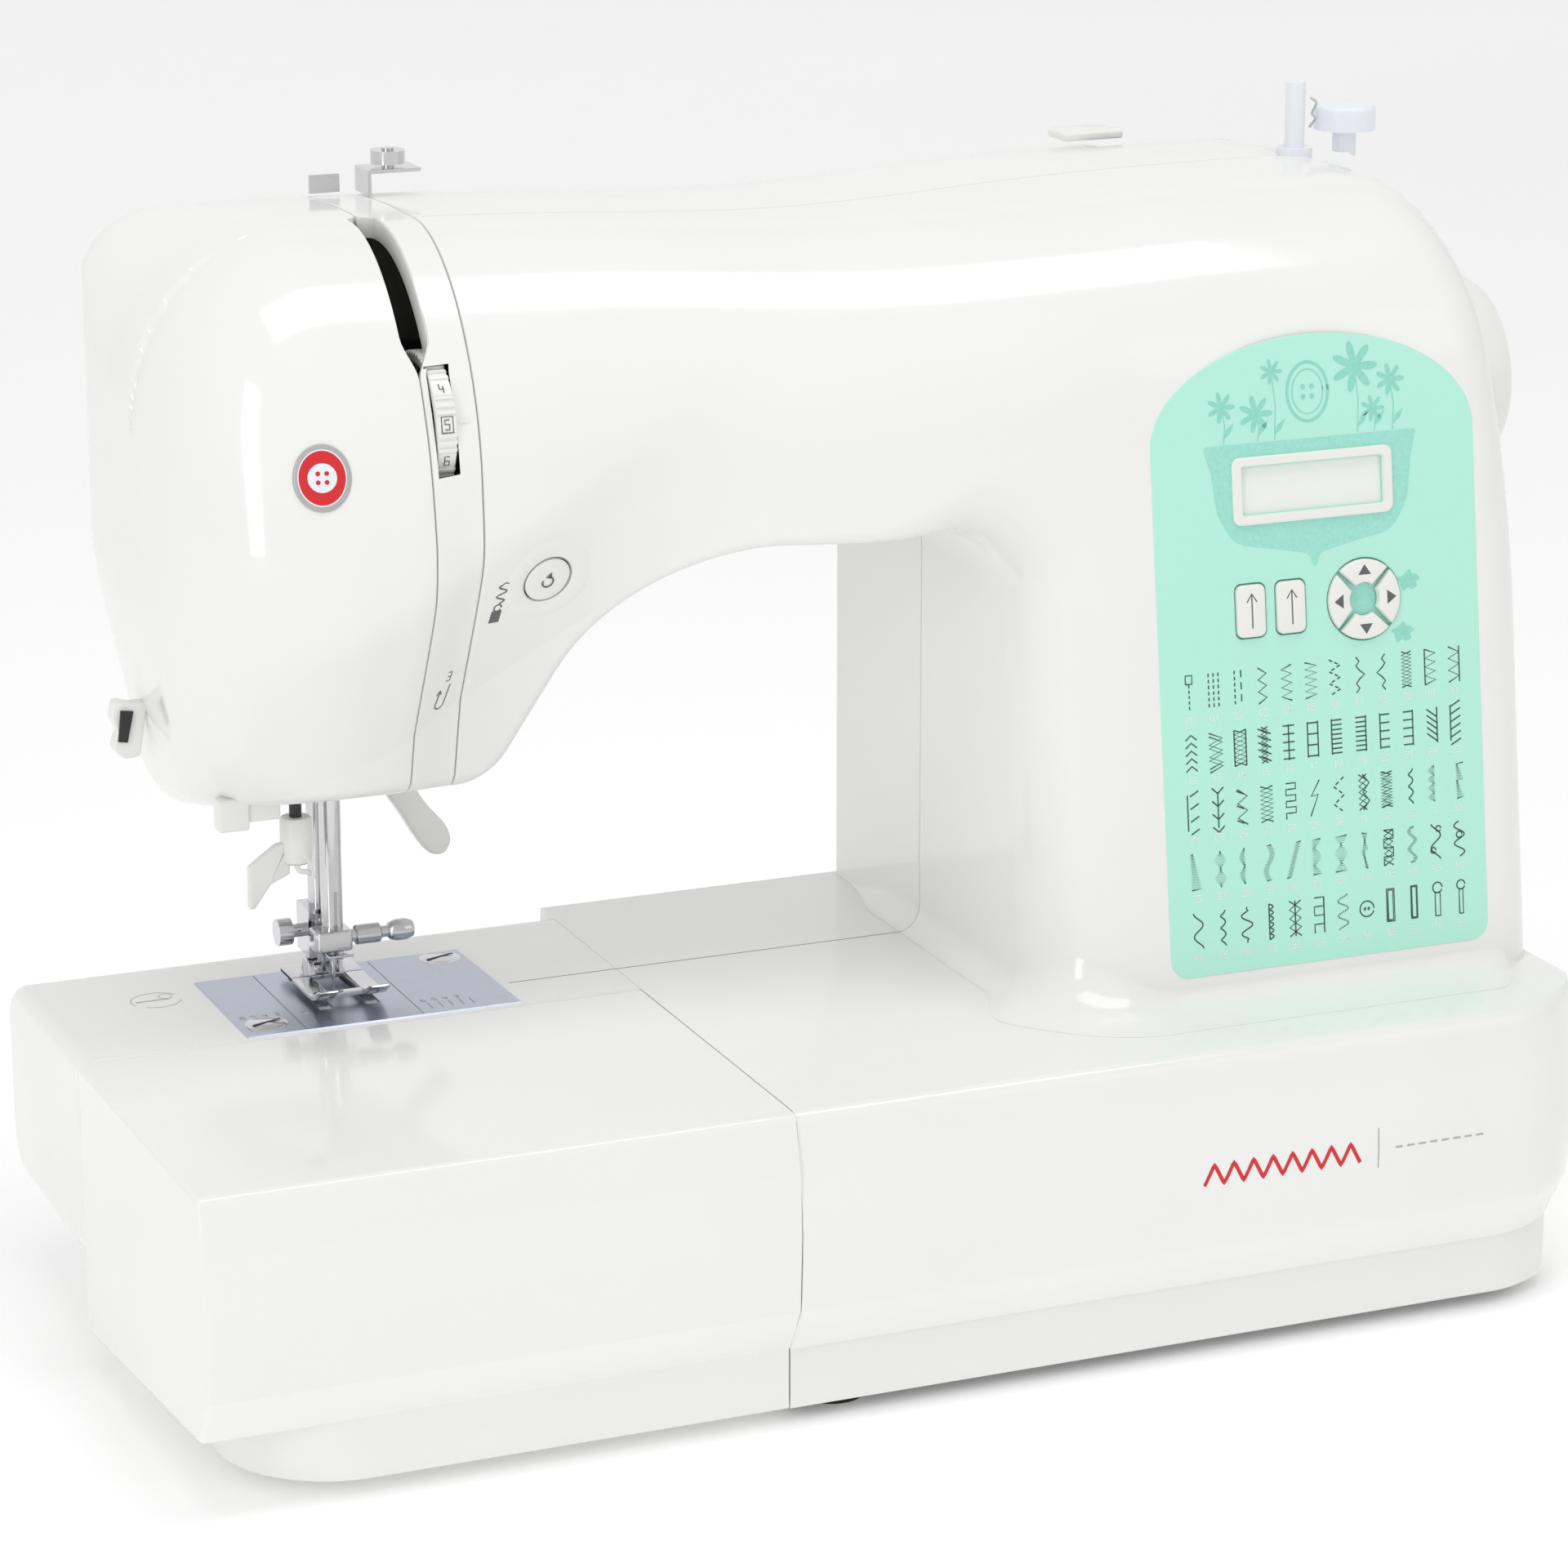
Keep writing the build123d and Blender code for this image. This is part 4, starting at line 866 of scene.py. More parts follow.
def tray_shell():
    """The accessory tray: bulging front, chamfer and sloping floor as one section drawn along x, over a plinth
    with one big rounded corner."""
    corners = [(-91.5, 22.0), (20.4, 12.0), (20.4, 92.5), (-95.6, 92.5), (-99.6, 76), (-100.45, 58),
               (-99.4, 36)]
    shape = soft_bar(Shape(), corners, [1.5, 0.6, 0.8, 2.6, 14, 22, 2.5], "x", -206.0, -36.45, edge=0.4,
                     low_edge=1.8)
    plinth = [(-36.6, -91.5), (-36.6, 17.0), (-192.0, 17.0), (-192.0, -91.5)]
    return soft_bar(shape, plinth, [0.5, 0.5, 8, 34], "z", 4.2, 24.0, edge=0.2, low_edge=0.8, turns=20)


BUTTON = (-73.5, 225.5, 7.0)
DIAL = (5.5, 270.0, 20.2)


def dial_wheel():
    """Tension dial: a ribbed wheel on edge, its ribs left out where the numbers are printed."""
    y0, z0, r = DIAL
    t = np.linspace(0, 2 * math.pi, 721)[:-1]
    rise = np.degrees(t)
    numbered = np.zeros_like(t, bool)
    for place in (-19.5, 10.0, 39.5):
        numbered |= np.abs((rise - place + 180) % 360 - 180) < 6.5
    rib = np.where(numbered, -0.12, 0.28 * np.sign(np.sin(t * 60)))
    shape = Shape()
    rows = []
    for x, drop in ((-107.7, 2.4), (-107.7, 0.35), (-107.4, 0.0), (-102.4, 0.0), (-102.1, 0.35), (-102.1, 2.4)):
        radius = r - drop + rib * (drop < 1)
        rows.append(np.stack([np.full_like(t, x), y0 - radius * np.cos(t), z0 + radius * np.sin(t)], 1))
    shape.grid(np.stack(rows), around=True)
    for digit, place in (("4", 39.5), ("5", 10.0), ("6", -19.5)):
        for line in DIGITS[digit]:
            dial_stroke(shape, np.array(line) * 1.35 + (-105.6, -1.35), place)
    dial_stroke(shape, box_loop(-106.5, -2.2, -103.2, 2.2), 10.0)
    return shape


def dial_stroke(shape, path, place):
    """Number on the rim of the dial: x along its width, the second value as arc length."""
    path = np.asarray(path, float)
    way = unit(np.gradient(path, axis=0))
    side = np.stack([-way[:, 1], way[:, 0]], 1) * 0.17
    rows = []
    for p in (path - side, path + side):
        angle = math.radians(place) + p[:, 1] / DIAL[2]
        radius = DIAL[2] + 0.04
        rows.append(np.stack([p[:, 0], DIAL[0] - radius * np.cos(angle), DIAL[1] + radius * np.sin(angle)], 1))
    shape.grid(np.stack(rows), tint=1)


def level_stroke(shape, path, width, z, tint=0):
    """Line printed or engraved on a level surface."""
    path = np.asarray(path, float)
    way = unit(np.diff(path, axis=0))
    way = np.concatenate([way[:1], unit(way[:-1] + way[1:] + 1e-9), way[-1:]])
    side = np.stack([-way[:, 1], way[:, 0]], 1) * width / 2
    rows = [np.column_stack([p, np.full(len(p), z)]) for p in (path + side, path - side)]
    shape.grid(np.stack(rows), tint=tint, flip=True)


# =====================================================================================================
# Operators
# =====================================================================================================
def paint(names, material):
    """Gives carried-over CAD nodes their finish."""
    for name in names:
        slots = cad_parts[name].data.materials
        slots.clear()
        slots.append(finish(material))


class SewingLooks(bpy.types.PropertyGroup):
    casing: FloatVectorProperty(name="Casing", description="Colour of the moulded covers", subtype="COLOR",
                                default=srgb(240, 240, 238))
    panel: FloatVectorProperty(name="Panel", description="Colour of the printed control panel", subtype="COLOR",
                               default=srgb(184, 240, 222))
    light: FloatProperty(name="Light", description="Strength of the studio lights", default=1.0, min=0.0,
                         subtype="FACTOR")


class SEWING_OT_covers(bpy.types.Operator):
    """Arm and pillar covers, face cover and threading strip"""
    bl_idname = "sewing.covers"
    bl_label = "Covers"

    def execute(self, context):
        front_half().piece("arm_front_skin", "machine", "casing_gloss", "white_casing", ["front_cover"], 40)
        wells = [((x - 5.5, 90, z - 5.5), (x + 5.5, 120, z + 5.5)) for x, z in REAR_SCREWS[2:]]
        rear_half().piece("arm_rear_skin", "machine", "casing_gloss", "white_casing", ["rear_cover"], 40,
                          cuts=[RECESS, *wells])
        recess_liner().piece("recess_liner", "machine", "casing_gloss", "white_casing", (), 30)
        screw_wells().piece("screw_wells", "machine", "casing_gloss", "white_casing", (), 40)
        face_ring().piece("face_skin", "machine", "casing_gloss", "white_casing", ["face_cover"], 40)
        strip_ring().piece("strip_skin", "machine", "strip_gloss", "white_trim", ["threading_strip"], 40)
        return {"FINISHED"}


class SEWING_OT_table(bpy.types.Operator):
    """Table, free arm and accessory tray"""
    bl_idname = "sewing.table"
    bl_label = "Table"

    def execute(self, context):
        wells = [((x - 5.5, 90, z - 5.5), (x + 5.5, 120, z + 5.5)) for x, z in REAR_SCREWS[:2]]
        table_skin().piece("table_skin", "machine", "casing_gloss", "white_casing", (), 30,
                           cuts=[((216, 50, 46), (230, 76, 70)), ((216, 81.5, 45.5), (230, 96.5, 70.5)),
                                 *wells])
        free_arm().piece("free_arm_skin", "machine", "casing_gloss", "white_casing", (), 30, True)
        tray_shell().piece("tray_skin", "tray", "casing_gloss", "white_casing", ["accessory_tray"], 30, True)
        # dark ribbon along the covers' split on the bed: painted shade of the seam's gap
        add_seam("bed_seam", [(x, SPLIT_Y, BED_Z) for x in np.linspace(-70, 62, 20)])
        return {"FINISHED"}


PANEL = {"x": 150.0, "z": 190.0, "wide": 105.0, "high": 187.0, "arch": 30.0}
LEAN = math.atan2(26, 190)


def on_panel(u, v, out=0.0):
    """Point of the leaning panel plane: u to the right, v up along it from the panel's middle, out towards
    the user."""
    u, v, out = np.broadcast_arrays(np.asarray(u, float), np.asarray(v, float), np.asarray(out, float))
    y = -58 + 26 / 190 * (PANEL["z"] - 96)
    return np.stack([PANEL["x"] + u, y + v * math.sin(LEAN) - out * math.cos(LEAN),
                     PANEL["z"] + v * math.cos(LEAN) + out * math.sin(LEAN)], -1)


def panel_outline(trim=0.0):
    """The panel's outline in its plane: upright sides, two small lower corners and an elliptic arch above."""
    half, bottom = PANEL["wide"] / 2 - trim, -PANEL["high"] / 2 + 4.2 + trim
    spring = PANEL["high"] / 2 - PANEL["arch"]
    t = np.radians(np.linspace(0, 180, 50))
    arch = np.stack([half * np.cos(t), spring + (PANEL["arch"] - trim) * np.sin(t)], 1)
    low = rounded([(-half, 0), (-half, bottom), (half, bottom), (half, 0)], [0, 6, 6, 0], 8)[1:-1]
    return np.concatenate([arch, low])


def plate(shape, outline, base, out, edge=0.25, tint=0, holes=(), close=True):
    """Flat plate on the panel's plane with a rounded rim; given holes only leave its top open, and their outlines
    are not used.
    """
    rings = [on_panel(o[:, 0], o[:, 1], h) for o, h in
             ((outline, base), (outline, out - edge), (inset(outline, edge * 0.3), out - edge * 0.3),
              (inset(outline, edge), out))]
    shape.grid(np.stack(rings), around=True, tint=tint)
    if close and not holes:
        shape.polygon(rings[-1], tint)
    return shape


def panel_face(name, outline, out, holes=()):
    """Flat printed area with holes: a filled curve turned to mesh and moved on to the panel's plane."""
    curve = bpy.data.curves.new(name, "CURVE")
    curve.dimensions, curve.fill_mode = "2D", "BOTH"
    for ring in (outline, *holes):
        spline = curve.splines.new("POLY")
        spline.points.add(len(ring) - 1)
        spline.points.foreach_set("co", np.column_stack([ring, np.zeros(len(ring)),
                                                         np.ones(len(ring))]).ravel())
        spline.use_cyclic_u = True
    holder = bpy.data.objects.new(name + "_curve", curve)
    mesh = bpy.data.meshes.new_from_object(holder)
    bpy.data.objects.remove(holder)
    flat = np.zeros(len(mesh.vertices) * 3)
    mesh.vertices.foreach_get("co", flat)
    flat = flat.reshape(-1, 3)
    faces = [list(p.vertices) for p in mesh.polygons]
    shape = Shape()
    shape.points.append(on_panel(flat[:, 0], flat[:, 1], out))
    shape.faces, shape.tints, shape.count = faces, [0] * len(faces), len(flat)
    return shape


RECT_KEYS = ((-22.5, 15.5), (-9.5, 15.5))
RING_AT, RING_IN, RING_OUT = (14.5, 15.5), 4.4, 12.2
DISPLAY_AT, DISPLAY_SIZE = (-1.0, 50.0), (52.0, 19.5)


def circle(centre, radius, steps=32, squash=1.0):
    """Closed circle: cosine and sine of even angles, squashed along v."""
    t = np.linspace(0, 2 * math.pi, steps, endpoint=False)
    return np.stack([centre[0] + radius * np.cos(t), centre[1] + radius * squash * np.sin(t)], 1)


def box_outline(centre, wide, high, radius, steps=6):
    """Rounded rectangle round a centre."""
    (cx, cy), w, h = centre, wide / 2, high / 2
    return rounded([(cx - w, cy - h), (cx + w, cy - h), (cx + w, cy + h), (cx - w, cy + h)], radius, steps)


def ring_key(middle_angle):
    """Outline of one of the four keys of the ring: a quarter band with softened corners."""
    a, b = math.radians(middle_angle - 41.5), math.radians(middle_angle + 41.5)
    t = np.linspace(0, 1, 14)
    outer = np.stack([np.cos(a + (b - a) * t), np.sin(a + (b - a) * t)], 1) * (RING_OUT - 0.5)
    gap = 0.16
    inner = np.stack([np.cos(b - gap + (a - b + 2 * gap) * t), np.sin(b - gap + (a - b + 2 * gap) * t)],
                     1) * (RING_IN + 0.5)
    return np.concatenate([outer, inner]) + RING_AT


def stroke(shape, path, width, out, tint=0):
    """Printed line on the panel: two rows offset to each side of a path, mitred at its bends."""
    path = np.asarray(path, float)
    way = unit(np.diff(path, axis=0))
    way = np.concatenate([way[:1], unit(way[:-1] + way[1:] + 1e-9),
                          way[-1:]]) if len(way) > 1 else np.repeat(way, 2, 0)
    side = np.stack([-way[:, 1], way[:, 0]], 1) * width / 2
    left, right = path + side, path - side
    shape.grid(np.stack([on_panel(right[:, 0], right[:, 1], out), on_panel(left[:, 0], left[:, 1], out)]),
               tint=tint,
               flip=False)


DIGITS = {"0": [[(0, 0), (0, 2), (1, 2), (1, 0), (0, 0)]], "1": [[(0.6, 0), (0.6, 2)]],
          "2": [[(0, 2), (1, 2), (1, 1), (0, 1), (0, 0), (1, 0)]],
          "3": [[(0, 2), (1, 2), (1, 0), (0, 0)], [(0.2, 1), (1, 1)]],
          "4": [[(0, 2), (0, 0.8), (1, 0.8)], [(0.8, 1.5), (0.8, 0)]],
          "5": [[(1, 2), (0, 2), (0, 1.1), (1, 1.1), (1, 0), (0, 0)]],
          "6": [[(1, 2), (0, 2), (0, 0), (1, 0), (1, 1), (0, 1)]], "7": [[(0, 2), (1, 2), (0.4, 0)]],
          "8": [[(0, 0), (0, 2), (1, 2), (1, 0), (0, 0)], [(0, 1), (1, 1)]],
          "9": [[(0, 0), (1, 0), (1, 2), (0, 2), (0, 1), (1, 1)]]}


def zigzag(count, reach, phase=0):
    """Line that goes from side to side while v falls evenly."""
    v = np.linspace(5, -5, count)
    return [np.stack([reach * np.where((np.arange(count) + phase) % 2, 1, -1), v], 1)]


def dashes(paths, step=0.9):
    """Cuts lines into even strokes with gaps between."""
    made = []
    for path in paths:
        for a, b in zip(path[:-1], path[1:]):
            a, b = np.array(a, float), np.array(b, float)
            count = max(1, int(np.linalg.norm(b - a) / step / 1.6))
            for i in range(count):
                made.append(np.array([a + (b - a) * i / count, a + (b - a) * (i + 0.6) / count]))
    return made


def rungs(left, right, count=6, drop=0.0):
    """Even cross strokes from left to right, each falling by drop."""
    return [np.array([(left, v), (right, v - drop)]) for v in np.linspace(4.6, -4.6 + drop, count)]


def upright(u):
    """One straight line down at u."""
    return [np.array([(u, 5.0), (u, -5.0)])]


def satin(width_of):
    """Dense zigzag whose two sides follow a width given as a function of height."""
    v = np.linspace(5, -5, 44)
    low, high = width_of(v / 5)
    return [np.stack([np.where(np.arange(44) % 2, low, high), v], 1)]


def curve_of(u_of):
    """Line whose u is a function of height."""
    v = np.linspace(5, -5, 40)
    return [np.stack([u_of(v / 5), v], 1)]


def stitch_rows():
    """Five rows of twelve stitch pictures, each a list of lines 10 mm high and up to 4 mm wide."""
    pi = math.pi
    first = [dashes([[(0, 2.4), (0, -5)]]) + [box_loop(-1, 2.6, 1, 5)],
             dashes([[(u, 5), (u, -5)] for u in (-1.5, 0, 1.5)]),
             dashes([[(-1, 5), (-1, -5)]]) + dashes([[(1, 5), (1, -5)]], 2), zigzag(7, 1.3), zigzag(9, 1.6, 1),
             zigzag(11, 1.8), dashes(zigzag(7, 1.7)), hem(1), hem(-1), lattice(5, 1.5),
             upright(-1.7) + zigzag(9, 1.7),
             upright(1.7) + zigzag(7, 1.7)]
    second = [chevrons(5), zigzag(7, 2) + shifted(zigzag(7, 2), 0, -1),
              upright(-1.8) + upright(1.8) + lattice(4, 1.8),
              lattice(5, 1.0) + rungs(-2, 2, 5, 1.6), upright(0) + rungs(-1.8, 1.8, 5),
              upright(-1.6) + upright(1.6) + rungs(-1.6, 1.6, 4), upright(-1.6) + rungs(-1.6, 1.6, 8),
              upright(1.6) + rungs(-1.6, 1.6, 8), upright(-1.4) + rungs(-1.4, 1.6, 5),
              upright(1.4) + rungs(-1.6, 1.4, 5),
              upright(1.6) + rungs(-1.6, 1.6, 5, 2.4), upright(-1.6) + rungs(-1.6, 1.6, 6, -1.6)]
    third = [upright(-1.8) + rungs(-1, 1.6, 4, -1.4),
             upright(0) + rungs(0, 1.8, 4, -1.6) + rungs(0, -1.8, 4, -1.6),
             zigzag(6, 1.5) + rungs(-1.8, 0.4, 3, 1), lattice(4, 1.9), keys(3),
             [np.array([(1.5, 5), (-1.2, 0.6), (1.0, 0.9),
             (-1.5, -5)])], dashes(zigzag(5, 1.6, 1)), lattice(3, 1.2) + shifted(zigzag(5, 1), 1, 0),
             lattice(6, 1.8) + zigzag(11, 1.2), curve_of(lambda t: 1.5 * np.abs(np.sin(1.5 * pi * t)) - 0.7),
             satin(lambda t: (-0.2 - 1.6 * np.abs(np.sin(2 * pi * t)), 0.2 + 0 * t)),
             satin(lambda t: (-0.3 + 0 * t, 1.9 * (1 - (t + 1) / 2 % 0.5 * 2)))]
    fourth = [satin(lambda t: (-1.5 + 0 * t, -0.8 + 2.4 * (0.5 - t / 2))),
              satin(lambda t: (-1.7 * np.sin(pi * (t + 1)) ** 2 - .1, 1.7 * np.sin(pi * (t + 1)) ** 2 + .1)),
              satin(lambda t: (-1.6 * np.abs(np.sin(pi * t)), 0 * t)),
              satin(lambda t: (np.sin(pi * t) - 0.8, np.sin(pi * t) + 0.8)),
              satin(lambda t: (1.6 * t - 0.5, 1.6 * t + 0.9)),
              satin(lambda t: (-1.4 + 0 * t, 1.8 * np.abs(np.cos(pi * t)) - .6)),
              satin(lambda t: (-1.9 * np.abs(np.cos(pi * t)), 1.9 * np.abs(np.cos(pi * t)))),
              satin(lambda t: (-0.9 * np.cos(3 * t), 0.9 * np.cos(3 * t) * (t > 0))), lattice(3, 1.4) + keys(2),
              satin(lambda t: (np.sin(2 * pi * t) - 0.6, np.sin(2 * pi * t) + 0.6)),
              curve_of(lambda t: 1.5 * np.sin(1.4 * pi * t)) + [circle((0.9, 3.6), 0.8, 12),
                                                                circle((-0.9, -2.4), 0.8, 12)],
              curve_of(lambda t: 1.6 * np.sin(2 * pi * t)) + [circle((0, 1.2), 0.9, 12)]]
    fifth = [curve_of(lambda t: 1.4 * np.sin(1.5 * pi * t)),
             curve_of(lambda t: 1.6 * np.abs(np.sin(1.5 * pi * t)) - 0.8),
             curve_of(lambda t: 1.7 * np.cos(2 * pi * t) * (np.abs(t) < 0.8)), upright(-0.6) + curve_of(
             lambda t: np.abs(np.sin(3 * pi * t)) * 1.3 - 0.6), lattice(2, 1.8) + upright(0),
             keys(2) + upright(1.5),
             dashes(curve_of(lambda t: 1.6 * np.sin(2.4 * pi * t)), 0.4),
             [circle((0, 0), 2.2, 20), circle((-.6, 0), 0.3, 8),
             circle((.6, 0), 0.3, 8)], [box_loop(-1.2, -4.4, 1.2, 4.8), box_loop(-0.8, -4.0, 0.8, 4.4)],
             [box_loop(-1, -4.4, 1, 4.8), box_loop(-.7, -4.1, .7, 4.5)],
             [circle((0, 3.4), 1.5, 16), box_loop(-0.8, -4.6, 0.8, 1.9)],
             [circle((0, 3.4), 1.3, 16), box_loop(-0.6, -4.8, 0.6, 2.1)]]
    return [first, second, third, fourth, fifth]


def box_loop(u0, v0, u1, v1):
    """Closed rectangle."""
    return np.array([(u0, v0), (u1, v0), (u1, v1), (u0, v1), (u0, v0)], float)


def shifted(paths, du, dv):
    """The same lines moved."""
    return [np.asarray(p, float) + (du, dv) for p in paths]


def hem(side):
    """Small steps with one long stitch in the middle."""
    v = np.linspace(5, -5, 9)
    return [np.stack([side * np.array([-0.8, 0.2, -0.8, 0.2, 1.8, 0.2, -0.8, 0.2, -0.8]), v], 1)]


def lattice(count, reach):
    """Two zigzags that mirror each other."""
    return zigzag(count * 2 + 1, reach) + zigzag(count * 2 + 1, reach, 1)


def chevrons(count):
    """Arrow heads, one below the other."""
    return [np.array([(-1.7, v - 1.4), (0, v), (1.7, v - 1.4)]) for v in np.linspace(5, -3.6, count)]


def keys(count):
    """Square wave, like battlements."""
    path, v, side = [(-1.5, 5.0)], 5.0, -1
    for _ in range(count):
        step = 10 / count / 2
        path += [(-side * 1.5, v), (-side * 1.5, v - step), (side * 0.2, v - step), (side * 1.5, v - step)]
        v -= step * 2
        path += [(side * 1.5, v)]
    return [np.array(path)]


def flower(centre, size, petals=7):
    """Closed outline of a flower of pointed petals."""
    t = np.linspace(0, 2 * math.pi, petals * 8, endpoint=False)
    r = size * (0.28 + 0.72 * np.abs(np.cos(petals * t / 2)) ** 1.6)
    return np.stack([centre[0] + r * np.cos(t), centre[1] + r * np.sin(t)], 1)


class SEWING_OT_panel_print(bpy.types.Operator):
    """Printing on the panel: pot and flowers, plain oval, stitch chart and its numbers"""
    bl_idname = "sewing.panel_print"
    bl_label = "Panel print"

    def execute(self, context):
        cx, cy = DISPLAY_AT
        pot = [(cx - 35, cy + 13.6), (cx + 34.5, cy + 13.6), (cx + 32.5, cy + 6), (cx + 31, cy - 6),
               (cx + 26, cy - 15),
               (cx + 12, cy - 17.5), (cx + 2, cy - 19.5), (cx, cy - 24.5), (cx - 2, cy - 19.5),
               (cx - 12, cy - 17.5),
               (cx - 26, cy - 15), (cx - 31, cy - 6), (cx - 32.5, cy + 6)]
        pot = rounded(np.array(pot)[::-1], [1, 5, 9, 9, 3, 0.6, 3, 9, 9, 5, 1, 1, 1], 6)
        frame_out = box_outline(DISPLAY_AT, DISPLAY_SIZE[0] - 1, DISPLAY_SIZE[1] - 1, 2.0)
        panel_face("pot_print", pot, 0.24, [frame_out]).piece("pot_print", "machine", "mint_deep", "mint_panel")
        art = Shape()
        blooms = (((-13.0, 83.5), 3.8), ((-29.5, 74.5), 4.6), ((-18.5, 71.8), 5.6), ((14.0, 83.0), 7.6),
                  ((25.5, 78.5), 4.8),
                  ((19.5, 70.5), 4.0))
        for centre, size in blooms:
            art.polygon(on_panel(*flower(centre, size).T, 0.25))
            stroke(art, [centre, (centre[0] + 1.0, 0.5 * (centre[1] + 64)), (centre[0] + 0.4, 64)], 0.35, 0.24)
            leaf = np.array([(0, 0), (2.2, 1.6), (3.4, 4.4), (0.8, 2.6)]) + (centre[0] + 0.6, 65.5)
            art.polygon(on_panel(*leaf.T, 0.25))
        for radius in (6.6, 5.0):
            ring = circle((-1.5, 77.0), radius, 36, 1.28)
            stroke(art, np.concatenate([ring, ring[:2]]), 0.9 if radius > 6 else 0.4, 0.245)
        for hole in ((-2.9, 75.6), (-0.1, 75.6), (-0.1, 78.4), (-2.9, 78.4)):
            art.polygon(on_panel(*circle(hole, 0.8, 12).T, 0.25))
        for centre in ((29.5, 19.5), (27.0, 4.5)):
            t = np.linspace(0, 2 * math.pi, 40, endpoint=False)
            r = 3.2 * (1 + 0.18 * np.sin(5 * t) + 0.1 * np.sin(9 * t + 1))
            art.polygon(on_panel(centre[0] + r * np.cos(t), centre[1] + 0.8 * r * np.sin(t), 0.24))
        art.piece("flower_print", "machine", "mint_flower", "mint_panel")
        chart, captions = Shape(), Shape()
        for row, pictures in enumerate(stitch_rows()):
            for column, paths in enumerate(pictures):
                at = (-43.3 + 7.9 * column, -6.5 - 17.3 * row)
                for path in paths:
                    stroke(chart, np.asarray(path, float) * 1.05 + at, 0.42, 0.25)
                for place, digit in enumerate(f"{row * 12 + column:02d}"):
                    for line in DIGITS[digit]:
                        stroke(captions, np.array(line) * 0.95 + (at[0] - 1.3 + 1.5 * place, at[1] - 8.8), 0.3,
                               0.25)
        chart.piece("stitch_chart", "machine", "chart_ink", "mint_panel")
        captions.piece("stitch_numbers", "machine", "chart_number", "mint_panel")
        return {"FINISHED"}


class SEWING_OT_control_panel(bpy.types.Operator):
    """Printed panel, display and keys"""
    bl_idname = "sewing.control_panel"
    bl_label = "Control panel"

    def execute(self, context):
        outline = panel_outline()
        rim = plate(Shape(), outline, -0.8, 0.2, close=False)
        rim.piece("panel_rim", "machine", "mint_print", "mint_panel", ["control_panel"], 40)
        holes = [box_outline(c, 10.2, 16.2, 2.2) for c in RECT_KEYS]
        holes.append(circle(RING_AT, RING_OUT, 48))
        window = box_outline(DISPLAY_AT, DISPLAY_SIZE[0] - 6.5, DISPLAY_SIZE[1] - 6.0, 0.8)
        holes.append(window)
        panel_face("panel_face", inset(outline, 0.25), 0.2, holes).piece(
            "panel_face", "machine", "mint_print", "mint_panel")
        well = Shape()
        for hole in holes:
            well.grid(np.stack([on_panel(hole[:, 0], hole[:, 1], 0.2), on_panel(hole[:, 0], hole[:, 1], -1.2)]),
                      around=True, flip=True)
            well.polygon(on_panel(hole[:, 0], hole[:, 1], -1.2))
        well.piece("panel_wells", "machine", "mint_deep", "mint_panel", (), 30)
        frame_out = box_outline(DISPLAY_AT, *DISPLAY_SIZE, 2.5)
        rings = [on_panel(o[:, 0], o[:, 1], h) for o, h in
                 ((frame_out, 0.1), (frame_out, 0.8), (inset(frame_out, 0.5), 1.1))]
        inner = box_outline(DISPLAY_AT, DISPLAY_SIZE[0] - 6.5, DISPLAY_SIZE[1] - 6.0, 0.8)
        band = Shape()
        band.grid(np.stack(rings), around=True)
        same = box_outline(DISPLAY_AT, DISPLAY_SIZE[0] - 1.0, DISPLAY_SIZE[1] - 1.0, 2.0)
        small = box_outline(DISPLAY_AT, DISPLAY_SIZE[0] - 5.5, DISPLAY_SIZE[1] - 5.0, 0.8)
        band.grid(np.stack([on_panel(same[:, 0], same[:, 1], 1.1), on_panel(small[:, 0], small[:, 1], 1.1),
                            on_panel(inner[:, 0], inner[:, 1], -0.6)]), around=True)
        band.piece("display_bezel", "machine", "trim_satin", "white_trim", (), 40)
        glass = Shape()
        glass.polygon(on_panel(inner[:, 0], inner[:, 1], -0.5))
        glass.piece("display_glass", "machine", "display_glass", "grey_display", ["display_window"])
        for name, centre in zip(("left_program", "right_program"), RECT_KEYS):
            key = plate(Shape(), box_outline(centre, 9.2, 15.2, 2.0), -0.9, 1.3, 0.7)
            for line in ([(0, -5), (0, 5)], [(-1.6, 2.6), (0, 5), (1.6, 2.6)]):
                stroke(key, np.array(line) + centre, 0.42, 1.33, 1)
            key.piece(name + "_cap", name + "_keycap", ["trim_satin", "grey_ink"], "key_plastic",
                      [name + "_key"], 50)
        for name, angle in (("right_arrow", 0), ("up_arrow", 90), ("left_arrow", 180), ("down_arrow", 270)):
            key = plate(Shape(), ring_key(angle), -0.9, 1.3, 0.5)
            a = math.radians(angle)
            turn = np.array([[math.cos(a), math.sin(a)], [-math.sin(a), math.cos(a)]])
            arrow = np.array([(7.2, -2.1), (10.2, 0), (7.2, 2.1)]) @ turn + RING_AT
            key.polygon(on_panel(arrow[:, 0], arrow[:, 1], 1.33), 1)
            key.piece(name + "_cap", name + "_keycap", ["trim_satin", "grey_ink"], "key_plastic",
                      [name + "_key"], 50)
        return {"FINISHED"}


def skin_frame(x, z):
    """Point on the front skin at x, z with its outward normal and two directions across it (right and up)."""
    y = cast(np.array([x, 45.0, z]), np.array([0, -1.0, 0]), body)
    step = 0.05 * np.eye(3)
    normal = unit(np.array([body(y + s) - body(y - s) for s in step], float))
    right = unit(np.cross((0, 0, 1.0), -normal))
    right = right if right[0] > 0 else -right
    return y, normal, right, unit(np.cross(normal, right)) * (1 if np.cross(normal, right)[2] > 0 else -1)


